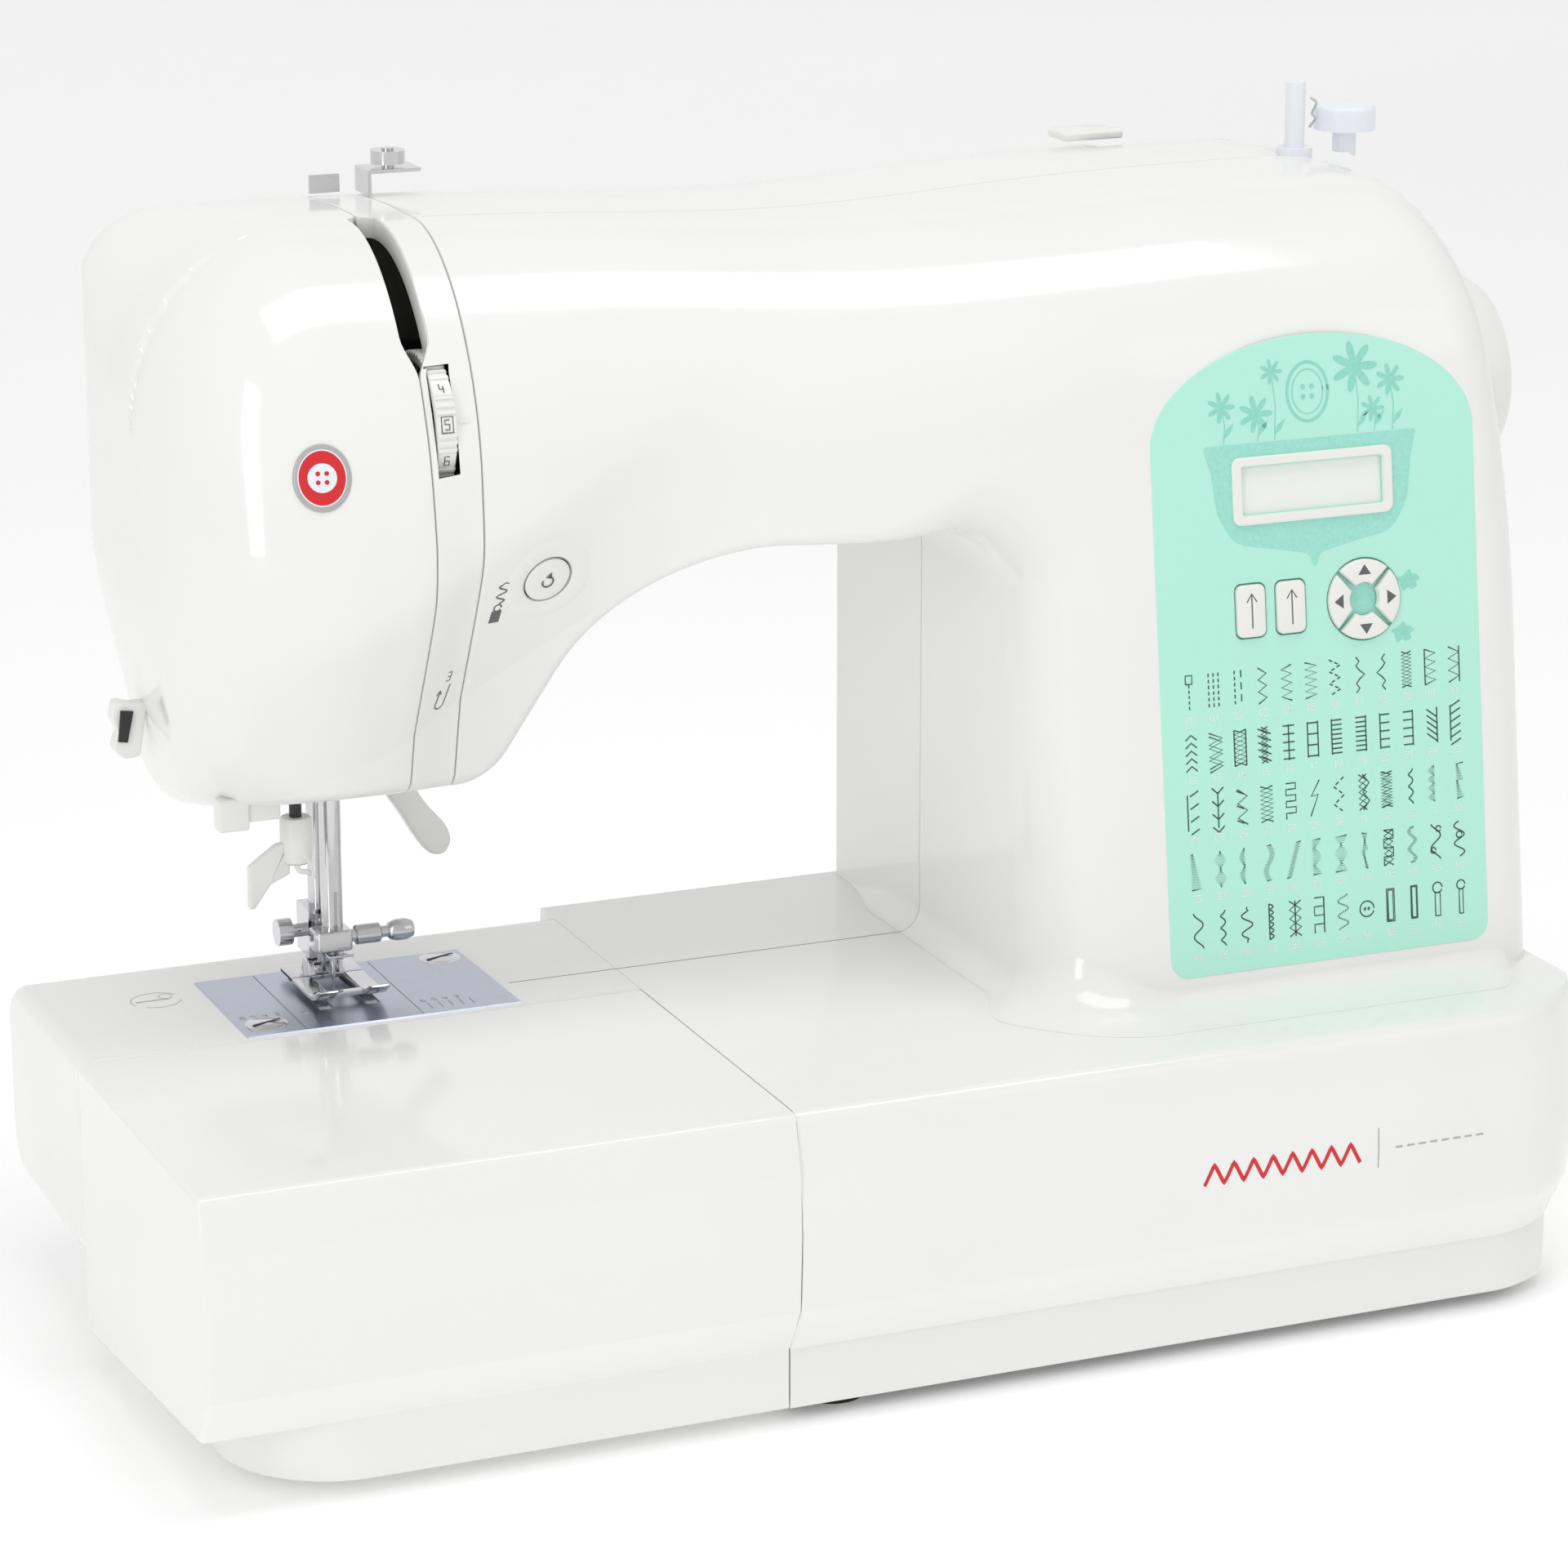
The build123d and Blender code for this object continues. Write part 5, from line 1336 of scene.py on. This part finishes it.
def drape(outline, x, z, out, flat=None):
    """Puts an outline (right, up) on the front skin round a place: each point is cast on to the skin and lifted."""
    at, normal, right, up = skin_frame(x, z)
    spots = at + outline[:, :1] * right + outline[:, 1:] * up
    if flat is not None:
        return spots + normal * (out + flat)
    inside = spots - normal * 25
    return cast(inside, np.broadcast_to(normal, inside.shape), body, 60) + normal * out


def skin_stroke(shape, path, x, z, width, out=0.06, tint=0):
    """Printed line that follows the front skin."""
    path = np.asarray(path, float)
    way = unit(np.gradient(path, axis=0))
    side = np.stack([-way[:, 1], way[:, 0]], 1) * width / 2
    shape.grid(np.stack([drape(path - side, x, z, out), drape(path + side, x, z, out)]), tint=tint)


class SEWING_OT_details(bpy.types.Operator):
    """Badge, reverse button, dial, marks, thread cutter, handwheel and the pieces on top"""
    bl_idname = "sewing.details"
    bl_label = "Details"

    def execute(self, context):
        badge = Shape()
        oval = lambda r: circle((0, 0), r, 44, 1.16)
        rings = [drape(oval(8.0), -141, 262, 0.0), drape(oval(8.0), -141, 262, 0.35),
                 drape(oval(7.7), -141, 262, 0.55),
                 drape(oval(6.7), -141, 262, 0.55)]
        badge.grid(np.stack(rings), around=True)
        badge.grid(np.stack([rings[-1], drape(oval(6.4), -141, 262, 0.5)]), around=True, tint=1)
        badge.grid(np.stack([drape(oval(6.4), -141, 262, 0.5), drape(oval(3.2), -141, 262, 0.55),
                             drape(oval(0.02), -141, 262, 0.56)]), around=True, tint=2)
        disc = circle((0, 0), 4.0, 30)
        badge.grid(np.stack([drape(disc, -141, 262, 0.6), drape(disc * 0.86, -141, 262, 0.75),
                             drape(disc * 0.02, -141, 262, 0.72)]), around=True, tint=1)
        for hole in ((-1.2, -1.2), (1.2, -1.2), (1.2, 1.2), (-1.2, 1.2)):
            badge.polygon(drape(circle(hole, 0.65, 12), -141, 262, 0.82), 2)
        badge.piece("face_badge", "machine", ["badge_grey", "clear_white", "badge_red"], "white_trim", (), 50)

        x, z, r = BUTTON
        key = Shape()
        tilt = np.array([(0.94, 0.34), (-0.34, 0.94)])
        ellipse = lambda q: circle((0, 0), q, 48) @ tilt
        key.grid(np.stack([drape(ellipse(r), x, z, -3, 0), drape(ellipse(r), x, z, 0.2, 0),
                           drape(ellipse(r - 0.3), x, z, 0.5, 0), drape(ellipse(r - 0.8), x, z, 0.62, 0),
                           drape(ellipse(r * 0.5), x, z, 0.5, 0), drape(ellipse(0.02), x, z, 0.45, 0)]),
                           around=True)
        turn = np.radians(np.linspace(160, 430, 16))
        hook = np.stack([1.7 * np.cos(turn), 1.7 * np.sin(turn) - 0.6], 1)
        hook = np.concatenate([hook, [(0.3, 1.6)]])
        line = hook[::-1]
        way = unit(np.gradient(line, axis=0))
        side = np.stack([-way[:, 1], way[:, 0]], 1) * 0.25
        key.grid(np.stack([drape(line - side, x, z, 0.7, 0), drape(line + side, x, z, 0.7, 0)]), tint=1)
        head = np.array([(-1.0, 1.0), (0.9, 0.5), (0.6, 2.7)])
        key.polygon(drape(head, x, z, 0.7, 0), 1)
        key.piece("reverse_cap", "reverse_key", ["trim_satin", "grey_ink"], "white_trim", ["reverse_button"],
                  40)
        ring = Shape()
        ring.grid(np.stack([drape(ellipse(r + 6.5), x, z, -0.06), drape(ellipse(r + 6.2), x, z, 0.05),
                            drape(ellipse(r + 3.5), x, z, 0.05), drape(ellipse(r + 0.75), x, z, 0.05)]),
                            around=True)
        ring.grid(np.stack([drape(ellipse(r + 0.75), x, z, 0.05), drape(ellipse(r + 0.35), x, z, -0.2),
                            drape(ellipse(r + 0.3), x, z, -2.5)]), around=True, tint=1)
        ring.piece("reverse_rim", "machine", ["casing_gloss", "badge_grey"], "white_trim", (), 50)

        dial_wheel().piece("dial_wheel", "dial", ["trim_satin", "grey_ink"], "white_trim", ["tension_dial"], 30)
        pointer = Shape()
        skin_stroke(pointer, [(-1.2, 0), (0, 0), (1.4, 0)], -99.4, 273.7, 0.9, 0.5)
        pointer.piece("dial_pointer", "machine", "trim_satin", "white_trim")

        lines = Shape()
        for x in (-137.8, -102.5):
            level_stroke(lines, [(x, 23), (x, 75)], 0.22, 93.04)
        for x in (-153, -150, -147.4, -132.5, -129, -98.5, -95.3, -92.2, -89.0, -85.8):
            level_stroke(lines, [(x, 26.5), (x, 31.5)], 0.2, 93.04)
        for k, digit in enumerate("6543"):
            for line in DIGITS[digit]:
                level_stroke(lines, np.array(line) * 1.1 + (-99.6 + 3.4 * k, 33), 0.2, 93.04)
                level_stroke(lines, np.array(line) * 1.1 + (-152.6 + 3.4 * k, 38), 0.2, 93.04)
        lines.piece("plate_lines", "machine", "grey_ink", "steel_plate")
        bed = Shape()
        ring = circle((-170, 66), 7.4, 40, 0.9)
        level_stroke(bed, ring[3:24], 0.35, 92.54)
        level_stroke(bed, ring[26:39], 0.35, 92.54)
        level_stroke(bed, [(-176, 66), (-166, 66)], 0.9, 92.54)
        level_stroke(bed, circle((-166.5, 68.5), 2.0, 16), 0.3, 92.54)
        bed.piece("bed_mark", "machine", "pale_ink", "white_casing")

        marks = Shape()
        skin_stroke(marks, [(0, -7.8), (0, -5.6), (0, -3.6)], -88, 221, 3.4)
        skin_stroke(marks, circle((0, -2.6), 1.2, 14), -88, 221, 0.5)
        wiggle = np.linspace(0, 1, 26)
        skin_stroke(marks, np.stack([1.5 * np.sin(wiggle * 12), -1.0 + wiggle * 6.4], 1), -88, 221, 0.5)
        skin_stroke(marks, [(-1.5, 4.6), (0.2, 6.2), (1.6, 5.8)], -88, 221, 0.4)
        for line in DIGITS["3"]:
            skin_stroke(marks, np.array(line) * 1.5 + (-0.8, 4), -102, 194, 0.4)
        skin_stroke(marks, [(-1.6, -3.6), (-1.6, 0.6)], -102, 194, 0.45)
        hook = np.radians(np.linspace(180, 360, 10))
        hook = np.stack([1.7 * np.cos(hook), 1.7 * np.sin(hook) - 4], 1)
        skin_stroke(marks, np.concatenate([[(-1.7, 0.6)], hook, [(1.7, 2.6)]]), -102, 194, 0.45)
        skin_stroke(marks, [(-2.7, -0.6), (-1.7, 1.0), (-0.7, -0.6)], -102, 194, 0.45)
        marks.piece("head_marks", "machine", "grey_ink", "white_casing")

        motif, plain = Shape(), Shape()
        u = np.linspace(0, 50, 17)
        zig = np.stack([87 + u, 58.0 + 3.0 * np.where(np.arange(17) % 2, 1, -1)], 1)
        for path, width, shape in ((zig, 1.15, motif), (np.array([(143, 52.5), (143, 64.5)]), 0.35, plain)):
            self.front_stroke(shape, path, width)
        for start in np.linspace(148.5, 175, 8):
            self.front_stroke(plain, np.array([(start, 58.0), (start + 2.4, 58.0)]), 0.55)
        motif.piece("front_motif_red", "machine", "red_ink", "white_casing")
        plain.piece("front_motif_grey", "machine", "pale_ink", "white_casing")

        wheel = Shape()
        profile = [(6, 249.2 - 1.5), (19, 248.2 - 0.5), (25.5, 247.8), (28.4, 246.8), (29.8, 244.4),
                   (30.3, 240), (30.3, 234),
                   (29.6, 231.4), (27.2, 230.2), (26.8, 224.6), (20, 224.2), (6, 224.2)]
        turned(wheel, profile, (0, 44.0, 250.0), "x", 96)
        wheel.piece("handwheel_rim", "main_shaft", "trim_satin", "white_trim", ["handwheel"], 30, True)

        cutter = Shape()
        hookline = rounded([(-177.0, 185.0), (-181.6, 186.5), (-182.6, 181.0), (-180.8, 177.0), (-182.6, 172.2),
                            (-179.0, 168.6), (-174.5, 169.5), (-172.0, 185.0)],
                            [1, 1.5, 1.5, 1.2, 2, 3, 1, 0.5])
        slab(cutter, hookline[:, ::-1], "y", 56.0, 61.0, 0.5)
        cutter.piece("cutter_hook", "machine", "trim_satin", "white_trim", ["thread_cutter"], 40, True)
        blade = Shape()
        slab(blade, np.array([(-181.2, 174.5), (-178.5, 174.0), (-176.5, 183.0), (-180.2, 183.5)])[:, ::-1],
             "y", 54.8, 55.6,
             0.1)
        blade.piece("cutter_blade", "machine", "black_plastic", "white_trim", (), 40, True)

        tab = Shape()
        outline = rounded([(131, 90), (151, 90), (151, 104.8), (131, 104.8)], [1, 1, 4, 4])
        slab(tab, outline, "z", 321.2, 323.6, 0.6)
        tab.piece("rear_tab", "machine", "trim_satin", "white_casing", (), 40, True)
        return {"FINISHED"}

    def front_stroke(self, shape, path, width):
        """Printed line on the table's front: each point is put on the profile at its height."""
        path = np.asarray(path, float)
        share = np.linspace(0, 1, 9)[:-1, None]
        path = np.concatenate([p + (q - p) * share for p, q in zip(path[:-1], path[1:])] + [path[-1:]])
        way = unit(np.diff(path, axis=0))
        way = np.concatenate([way[:1], unit(way[:-1] + way[1:] + 1e-9), way[-1:]])
        side = np.stack([-way[:, 1], way[:, 0]], 1) * width / 2
        profile = np.array(TABLE_PROFILE)
        rows = []
        for p in (path - side, path + side):
            rows.append(np.stack([p[:, 0], -100.2 + np.interp(p[:, 1], profile[:, 1], profile[:, 0]) - 0.06,
                                  p[:, 1]], 1))
        shape.grid(np.stack(rows))


class SEWING_OT_needle_gear(bpy.types.Operator):
    """Lifter, threader, buttonhole lever, clamp, foot and plate screws"""
    bl_idname = "sewing.needle_gear"
    bl_label = "Needle gear"

    def execute(self, context):
        nx, ny = NEEDLE
        outline = smooth_path([(-100, 168), (-91, 168), (-88.5, 156), (-87.6, 147), (-84, 140.5), (-78.6, 134),
                               (-77.0, 129),
                               (-79.2, 125.2), (-83.5, 125.6), (-87.5, 130.5), (-92.5, 139), (-97.5, 147),
                               (-99.8, 157),
                               (-100, 168)], 70)[:-1]
        slab(Shape(), outline[:, ::-1], "y", 70.2, 75.8, 1.3).piece(
            "lifter_lever", "lifter", "trim_satin", "white_trim", ["presser_lifter"], 40, True)

        bar = Shape()
        soft_bar(bar, [(27, 152.6), (33, 152.6), (33, 162), (27, 162)], 0.8, "x", -160.4, -151.6, 0.6)
        soft_bar(bar, [(28, 154.6), (32.4, 154.6), (32.4, 160), (28, 160)], 0.6, "x", -152.4, -142.2, 0.5)
        bar.piece("buttonhole_bar", "buttonhole_slider", "trim_satin", "white_trim", ["buttonhole_lever"], 35,
                  True)

        sleeve = Shape()
        turned(sleeve, [(1.9, 150), (4.1, 150), (4.6, 149.3), (4.7, 140), (4.4, 137), (3.4, 136.2),
                        (1.9, 136.2)],
               (-133.0, 44.0, 0), "z", 40)
        wing = rounded([(-147.8, 136.8), (-139.5, 142.6), (-135.5, 143.2), (-135.5, 133.5), (-141.3, 131.0),
                        (-146.2, 124.2), (-148.0, 124.2)], [1.2, 1, 0.4, 0.6, 2, 1.2, 0.8])
        slab(sleeve, wing[:, ::-1], "y", 42.2, 44.6, 0.6)
        hook = smooth_path([(-134, 41, 137.5), (-131.5, 40, 138.8), (-129.8, 40.5, 135.5),
                            (-128.6, 41.5, 131.6)], 14)
        tube(sleeve, hook, 0.5, 8)
        arm = smooth_path([(-134, 42, 137), (-133.2, 41, 134.6), (-131, 41, 134.0), (-129.6, 41.8, 133.2)], 12)
        tube(sleeve, arm, 0.75, 8)
        sleeve.piece("threader_sleeve", "threader", "trim_satin", "white_trim", ["threader_arm"], 40, True)

        clamp = Shape()
        soft_bar(clamp, [(nx - 6.5, ny - 4.8), (nx + 4.9, ny - 4.8), (nx + 4.9, ny + 3.9),
                         (nx - 6.5, ny + 3.9)],
                 [2.2, 1.4, 1.4, 2.2], "z", 106.1, 112.4, 0.8)
        soft_bar(clamp, [(nx - 2.6, ny - 4.6), (nx + 5.0, ny - 4.6), (nx + 5.0, ny - 0.2),
                         (nx - 2.6, ny - 0.2)], 0.5,
                 "z", 104.2, 105.0, 0.2)
        tube(clamp, [(nx + 1.6, ny - 2, 106.4), (nx + 1.6, ny - 2, 104.6)], 0.9, 10)
        clamp.piece("clamp_block", "needle_carrier", "bright_steel", "chrome_steel", ["needle_clamp"], 35, True)
        screw = Shape()
        turned(screw, [(0.6, nx + 3.6), (1.9, nx + 3.6), (1.9, nx + 6.6), (2.7, nx + 6.7), (2.95, nx + 7),
                       (2.95, nx + 13.8),
                       (2.5, nx + 14.3), (1.7, nx + 14.5), (1.7, nx + 16.4), (2.6, nx + 17.2), (3.2, nx + 19.2),
                       (3.2, nx + 22.0), (2.4, nx + 24.2), (0.8, nx + 24.9)], (0, ny - 0.5, 109.4), "x", 36)
        screw.piece("clamp_knob", "clamp_screw", "bright_steel", "chrome_steel", ["needle_clamp_screw"], 35,
                    True)

        foot = Shape()
        sole = smooth_path([(70.6, 94.9), (55, 94.8), (42, 94.9), (37.5, 96.0), (34.4, 98.0), (32.3, 99.6)], 26)
        roof = smooth_path([(32.6, 99.9), (35.4, 99.2), (38.5, 97.6), (43, 96.5), (55, 96.4), (70.6, 96.4)], 26)
        outline = np.concatenate([sole, roof])
        for low, high in ((nx - 10.8, nx - 4.8), (nx + 4.8, nx + 10.8)):
            slab(foot, outline, "x", low, high, 0.5, 4)
        soft_bar(foot, [(58.5, 94.9), (70.6, 94.9), (70.6, 96.6), (58.5, 96.6)], 0.4, "x", nx - 10.8,
                 nx + 10.8, 0.4)
        soft_bar(foot, [(40.6, 95.0), (43.6, 95.0), (43.6, 96.4), (40.6, 96.4)], 0.3, "x", nx - 6, nx + 6, 0.2)
        for side in (-4.6, 4.6):
            cheek = rounded([(58.6, 96.2), (66.8, 96.2), (65.2, 100.9), (60.4, 100.9)], [0.2, 0.2, 1.8, 1.8])
            slab(foot, cheek, "x", nx + side - 0.9, nx + side + 0.9, 0.25)
        tube(foot, [(nx - 4.9, 62, 99.6), (nx + 4.9, 62, 99.6)], 1.15, 14)
        foot.piece("foot_sole", "foot", "bright_steel", "chrome_steel", ["presser_foot"], 35, True)

        heads = Shape()
        for x, y in ((-147.0, 32.0), (-81.5, 70.0)):
            turned(heads, [(6.2, 93.02), (6.0, 93.06), (5.6, 93.03), (5.2, 93.25), (0.4, 93.45)], (x, y, 0),
                   "z", 40,
                   cap=False)
            # each slot is a flat dark stroke over the head: painted shade standing in for the shade inside the slot
            slot = np.array([(-4.6, -1.6), (4.6, 1.6)])
            level_stroke(heads, slot + (x, y), 1.1, 93.5, 1)
        heads.piece("plate_screw_heads", "machine", ["bright_steel", "dark_gap"], "chrome_steel",
                    ["plate_screws"], 40)

        spring = Shape()
        wire = smooth_path([(184 + 4.6, 41, 338), (184 + 6.6, 41, 336.4), (184 + 5.2, 41, 333.4),
                            (184 + 6.4, 41, 331.8),
                            (184 + 4.4, 41, 329.2)], 30)
        tube(spring, wire, 0.4, 8)
        spring.piece("winder_spring", "winder_spindle", "bright_steel", "chrome_steel", (), 40, True)
        return {"FINISHED"}


class SEWING_OT_cad_finishes(bpy.types.Operator):
    """Finishes of the pieces that keep their CAD shape"""
    bl_idname = "sewing.cad_finishes"
    bl_label = "CAD finishes"

    def execute(self, context):
        paint(["arm_frame", "bed_frame"], "cast_frame")
        paint(["shaft_bushes"], "bronze")
        paint(["bottom_plate"], "bottom_grey")
        paint(["rubber_feet", "drive_belts"], "black_rubber")
        paint(["needle_plate", "feed_dog"], "plate_steel")
        paint(["cover_screws", "needle_bar", "presser_bar", "foot_holder", "needle", "take_up_lever",
               "thread_guides"], "bright_steel")
        paint(["control_board"], "board_green")
        paint(["power_inlet", "power_switch", "drop_feed_lever", "threader_post", "spool_pin"], "black_plastic")
        paint(["main_motor"], "motor_paint")
        paint(["bobbin_case", "tension_unit", "arm_shaft", "needle_crank", "motor_pulley", "lower_shaft",
               "shuttle_hook", "needle_bar_frame", "feed_bar"], "bar_steel")
        paint(["bobbin", "winder_shaft", "bobbin_stop"], "clear_white")
        paint(["spool_cap", "winder_carriage"], "trim_satin")
        return {"FINISHED"}


CAMERA_TARGET = (0.0009 - 0.0215, 0.00143 - 0.0046, 0.155942)
CAMERA_TURN, CAMERA_RISE, CAMERA_REACH = -22.862, 16.143, 1.457855


class SEWING_OT_stage(bpy.types.Operator):
    """Pale floor, soft lights and the camera"""
    bl_idname = "sewing.stage"
    bl_label = "Stage"

    def execute(self, context):
        scene = context.scene
        floor = Shape()
        t = np.linspace(0, 1, 40)
        y = np.concatenate([np.linspace(-3000, 2400, 20), 2400 + 900 * np.sin(t * math.pi / 2)])
        z = np.concatenate([np.zeros(20), 900 * (1 - np.cos(t * math.pi / 2))])
        y, z = np.append(y, y[-1]), np.append(z, 3600)
        x = np.linspace(-4000, 4000, 9)
        points = np.zeros((len(x), len(y), 3))
        points[..., 0], points[..., 1], points[..., 2] = x[:, None], y[None], z[None]
        sweep = floor.grid(points).piece("backdrop", "machine", "casing_gloss", "white_casing")
        sweep.parent = None
        sweep.data.materials.clear()
        s = Shader("backdrop_white")
        sweep.data.materials.append(s.surface(Base_Color=s.mix(s.noise(2.0), (0.93, 0.93, 0.93, 1),
                                                               (0.96, 0.96, 0.96, 1)),
                                              Roughness=0.7, Emission_Color=(1, 1, 1, 1),
                                              Emission_Strength=0.16))
        world = bpy.data.worlds.new("studio")
        scene.world = world
        world.use_nodes = True
        world.node_tree.nodes["Background"].inputs[0].default_value = (1, 1, 1, 1)
        world.node_tree.nodes["Background"].inputs[1].default_value = 0.66 * looks().light
        self.lamp("key", (-1.5, -1.1, 0.75), (-0.05, 0, 0.18), (0.3, 1.3), 5.5)
        self.lamp("top", (0.05, -0.35, 1.6), (0.0, 0.02, 0.2), (1.5, 0.5), 7)
        self.lamp("fill", (1.6, -1.9, 1.2), (0.0, 0, 0.15), (1.2, 1.2), 2.0)
        camera = bpy.data.objects.new("camera", bpy.data.cameras.new("camera"))
        scene.collection.objects.link(camera)
        camera.data.lens, camera.data.sensor_width = 116.03, 36.0
        camera.data.clip_end = 50
        turn, rise = math.radians(CAMERA_TURN), math.radians(CAMERA_RISE)
        back = (math.sin(turn) * math.cos(rise), -math.cos(turn) * math.cos(rise), math.sin(rise))
        camera.location = [t + b * CAMERA_REACH for t, b in zip(CAMERA_TARGET, back)]
        camera.rotation_euler = (math.pi / 2 - rise, 0, turn)
        scene.camera = camera
        scene.view_settings.view_transform = "Standard"
        return {"FINISHED"}

    def lamp(self, name, place, target, size, power):
        """Area lamp at a place, turned to a target."""
        data = bpy.data.lights.new(name, "AREA")
        data.shape, data.size, data.size_y = "RECTANGLE", size[0], size[1]
        data.energy = power * looks().light
        lamp = bpy.data.objects.new(name, data)
        bpy.context.scene.collection.objects.link(lamp)
        way = np.array(place) - np.array(target)
        flat = math.hypot(way[0], way[1])
        lamp.location = place
        lamp.rotation_euler = (math.atan2(flat, way[2]), 0, math.atan2(way[0], -way[1]))


STEPS = (SEWING_OT_covers, SEWING_OT_table, SEWING_OT_control_panel, SEWING_OT_panel_print, SEWING_OT_details,
         SEWING_OT_needle_gear, SEWING_OT_cad_finishes, SEWING_OT_stage)


class SEWING_PT_panel(bpy.types.Panel):
    """Lists the steps in the sidebar"""
    bl_label = "Sewing machine"
    bl_space_type = "VIEW_3D"
    bl_region_type = "UI"
    bl_category = "Sewing machine"

    def draw(self, context):
        for step in STEPS:
            self.layout.operator(step.bl_idname)
        for name in ("casing", "panel", "light"):
            self.layout.prop(context.scene.sewing_looks, name)


def register():
    for item in (SewingLooks, *STEPS, SEWING_PT_panel):
        bpy.utils.register_class(item)
    bpy.types.Scene.sewing_looks = PointerProperty(type=SewingLooks)


def unregister():
    del bpy.types.Scene.sewing_looks
    for item in (SEWING_PT_panel, *reversed(STEPS), SewingLooks):
        bpy.utils.unregister_class(item)


def main():
    register()
    for step in STEPS:
        group, name = step.bl_idname.split(".")
        getattr(getattr(bpy.ops, group), name)()


if __name__ == "__main__":
    main()
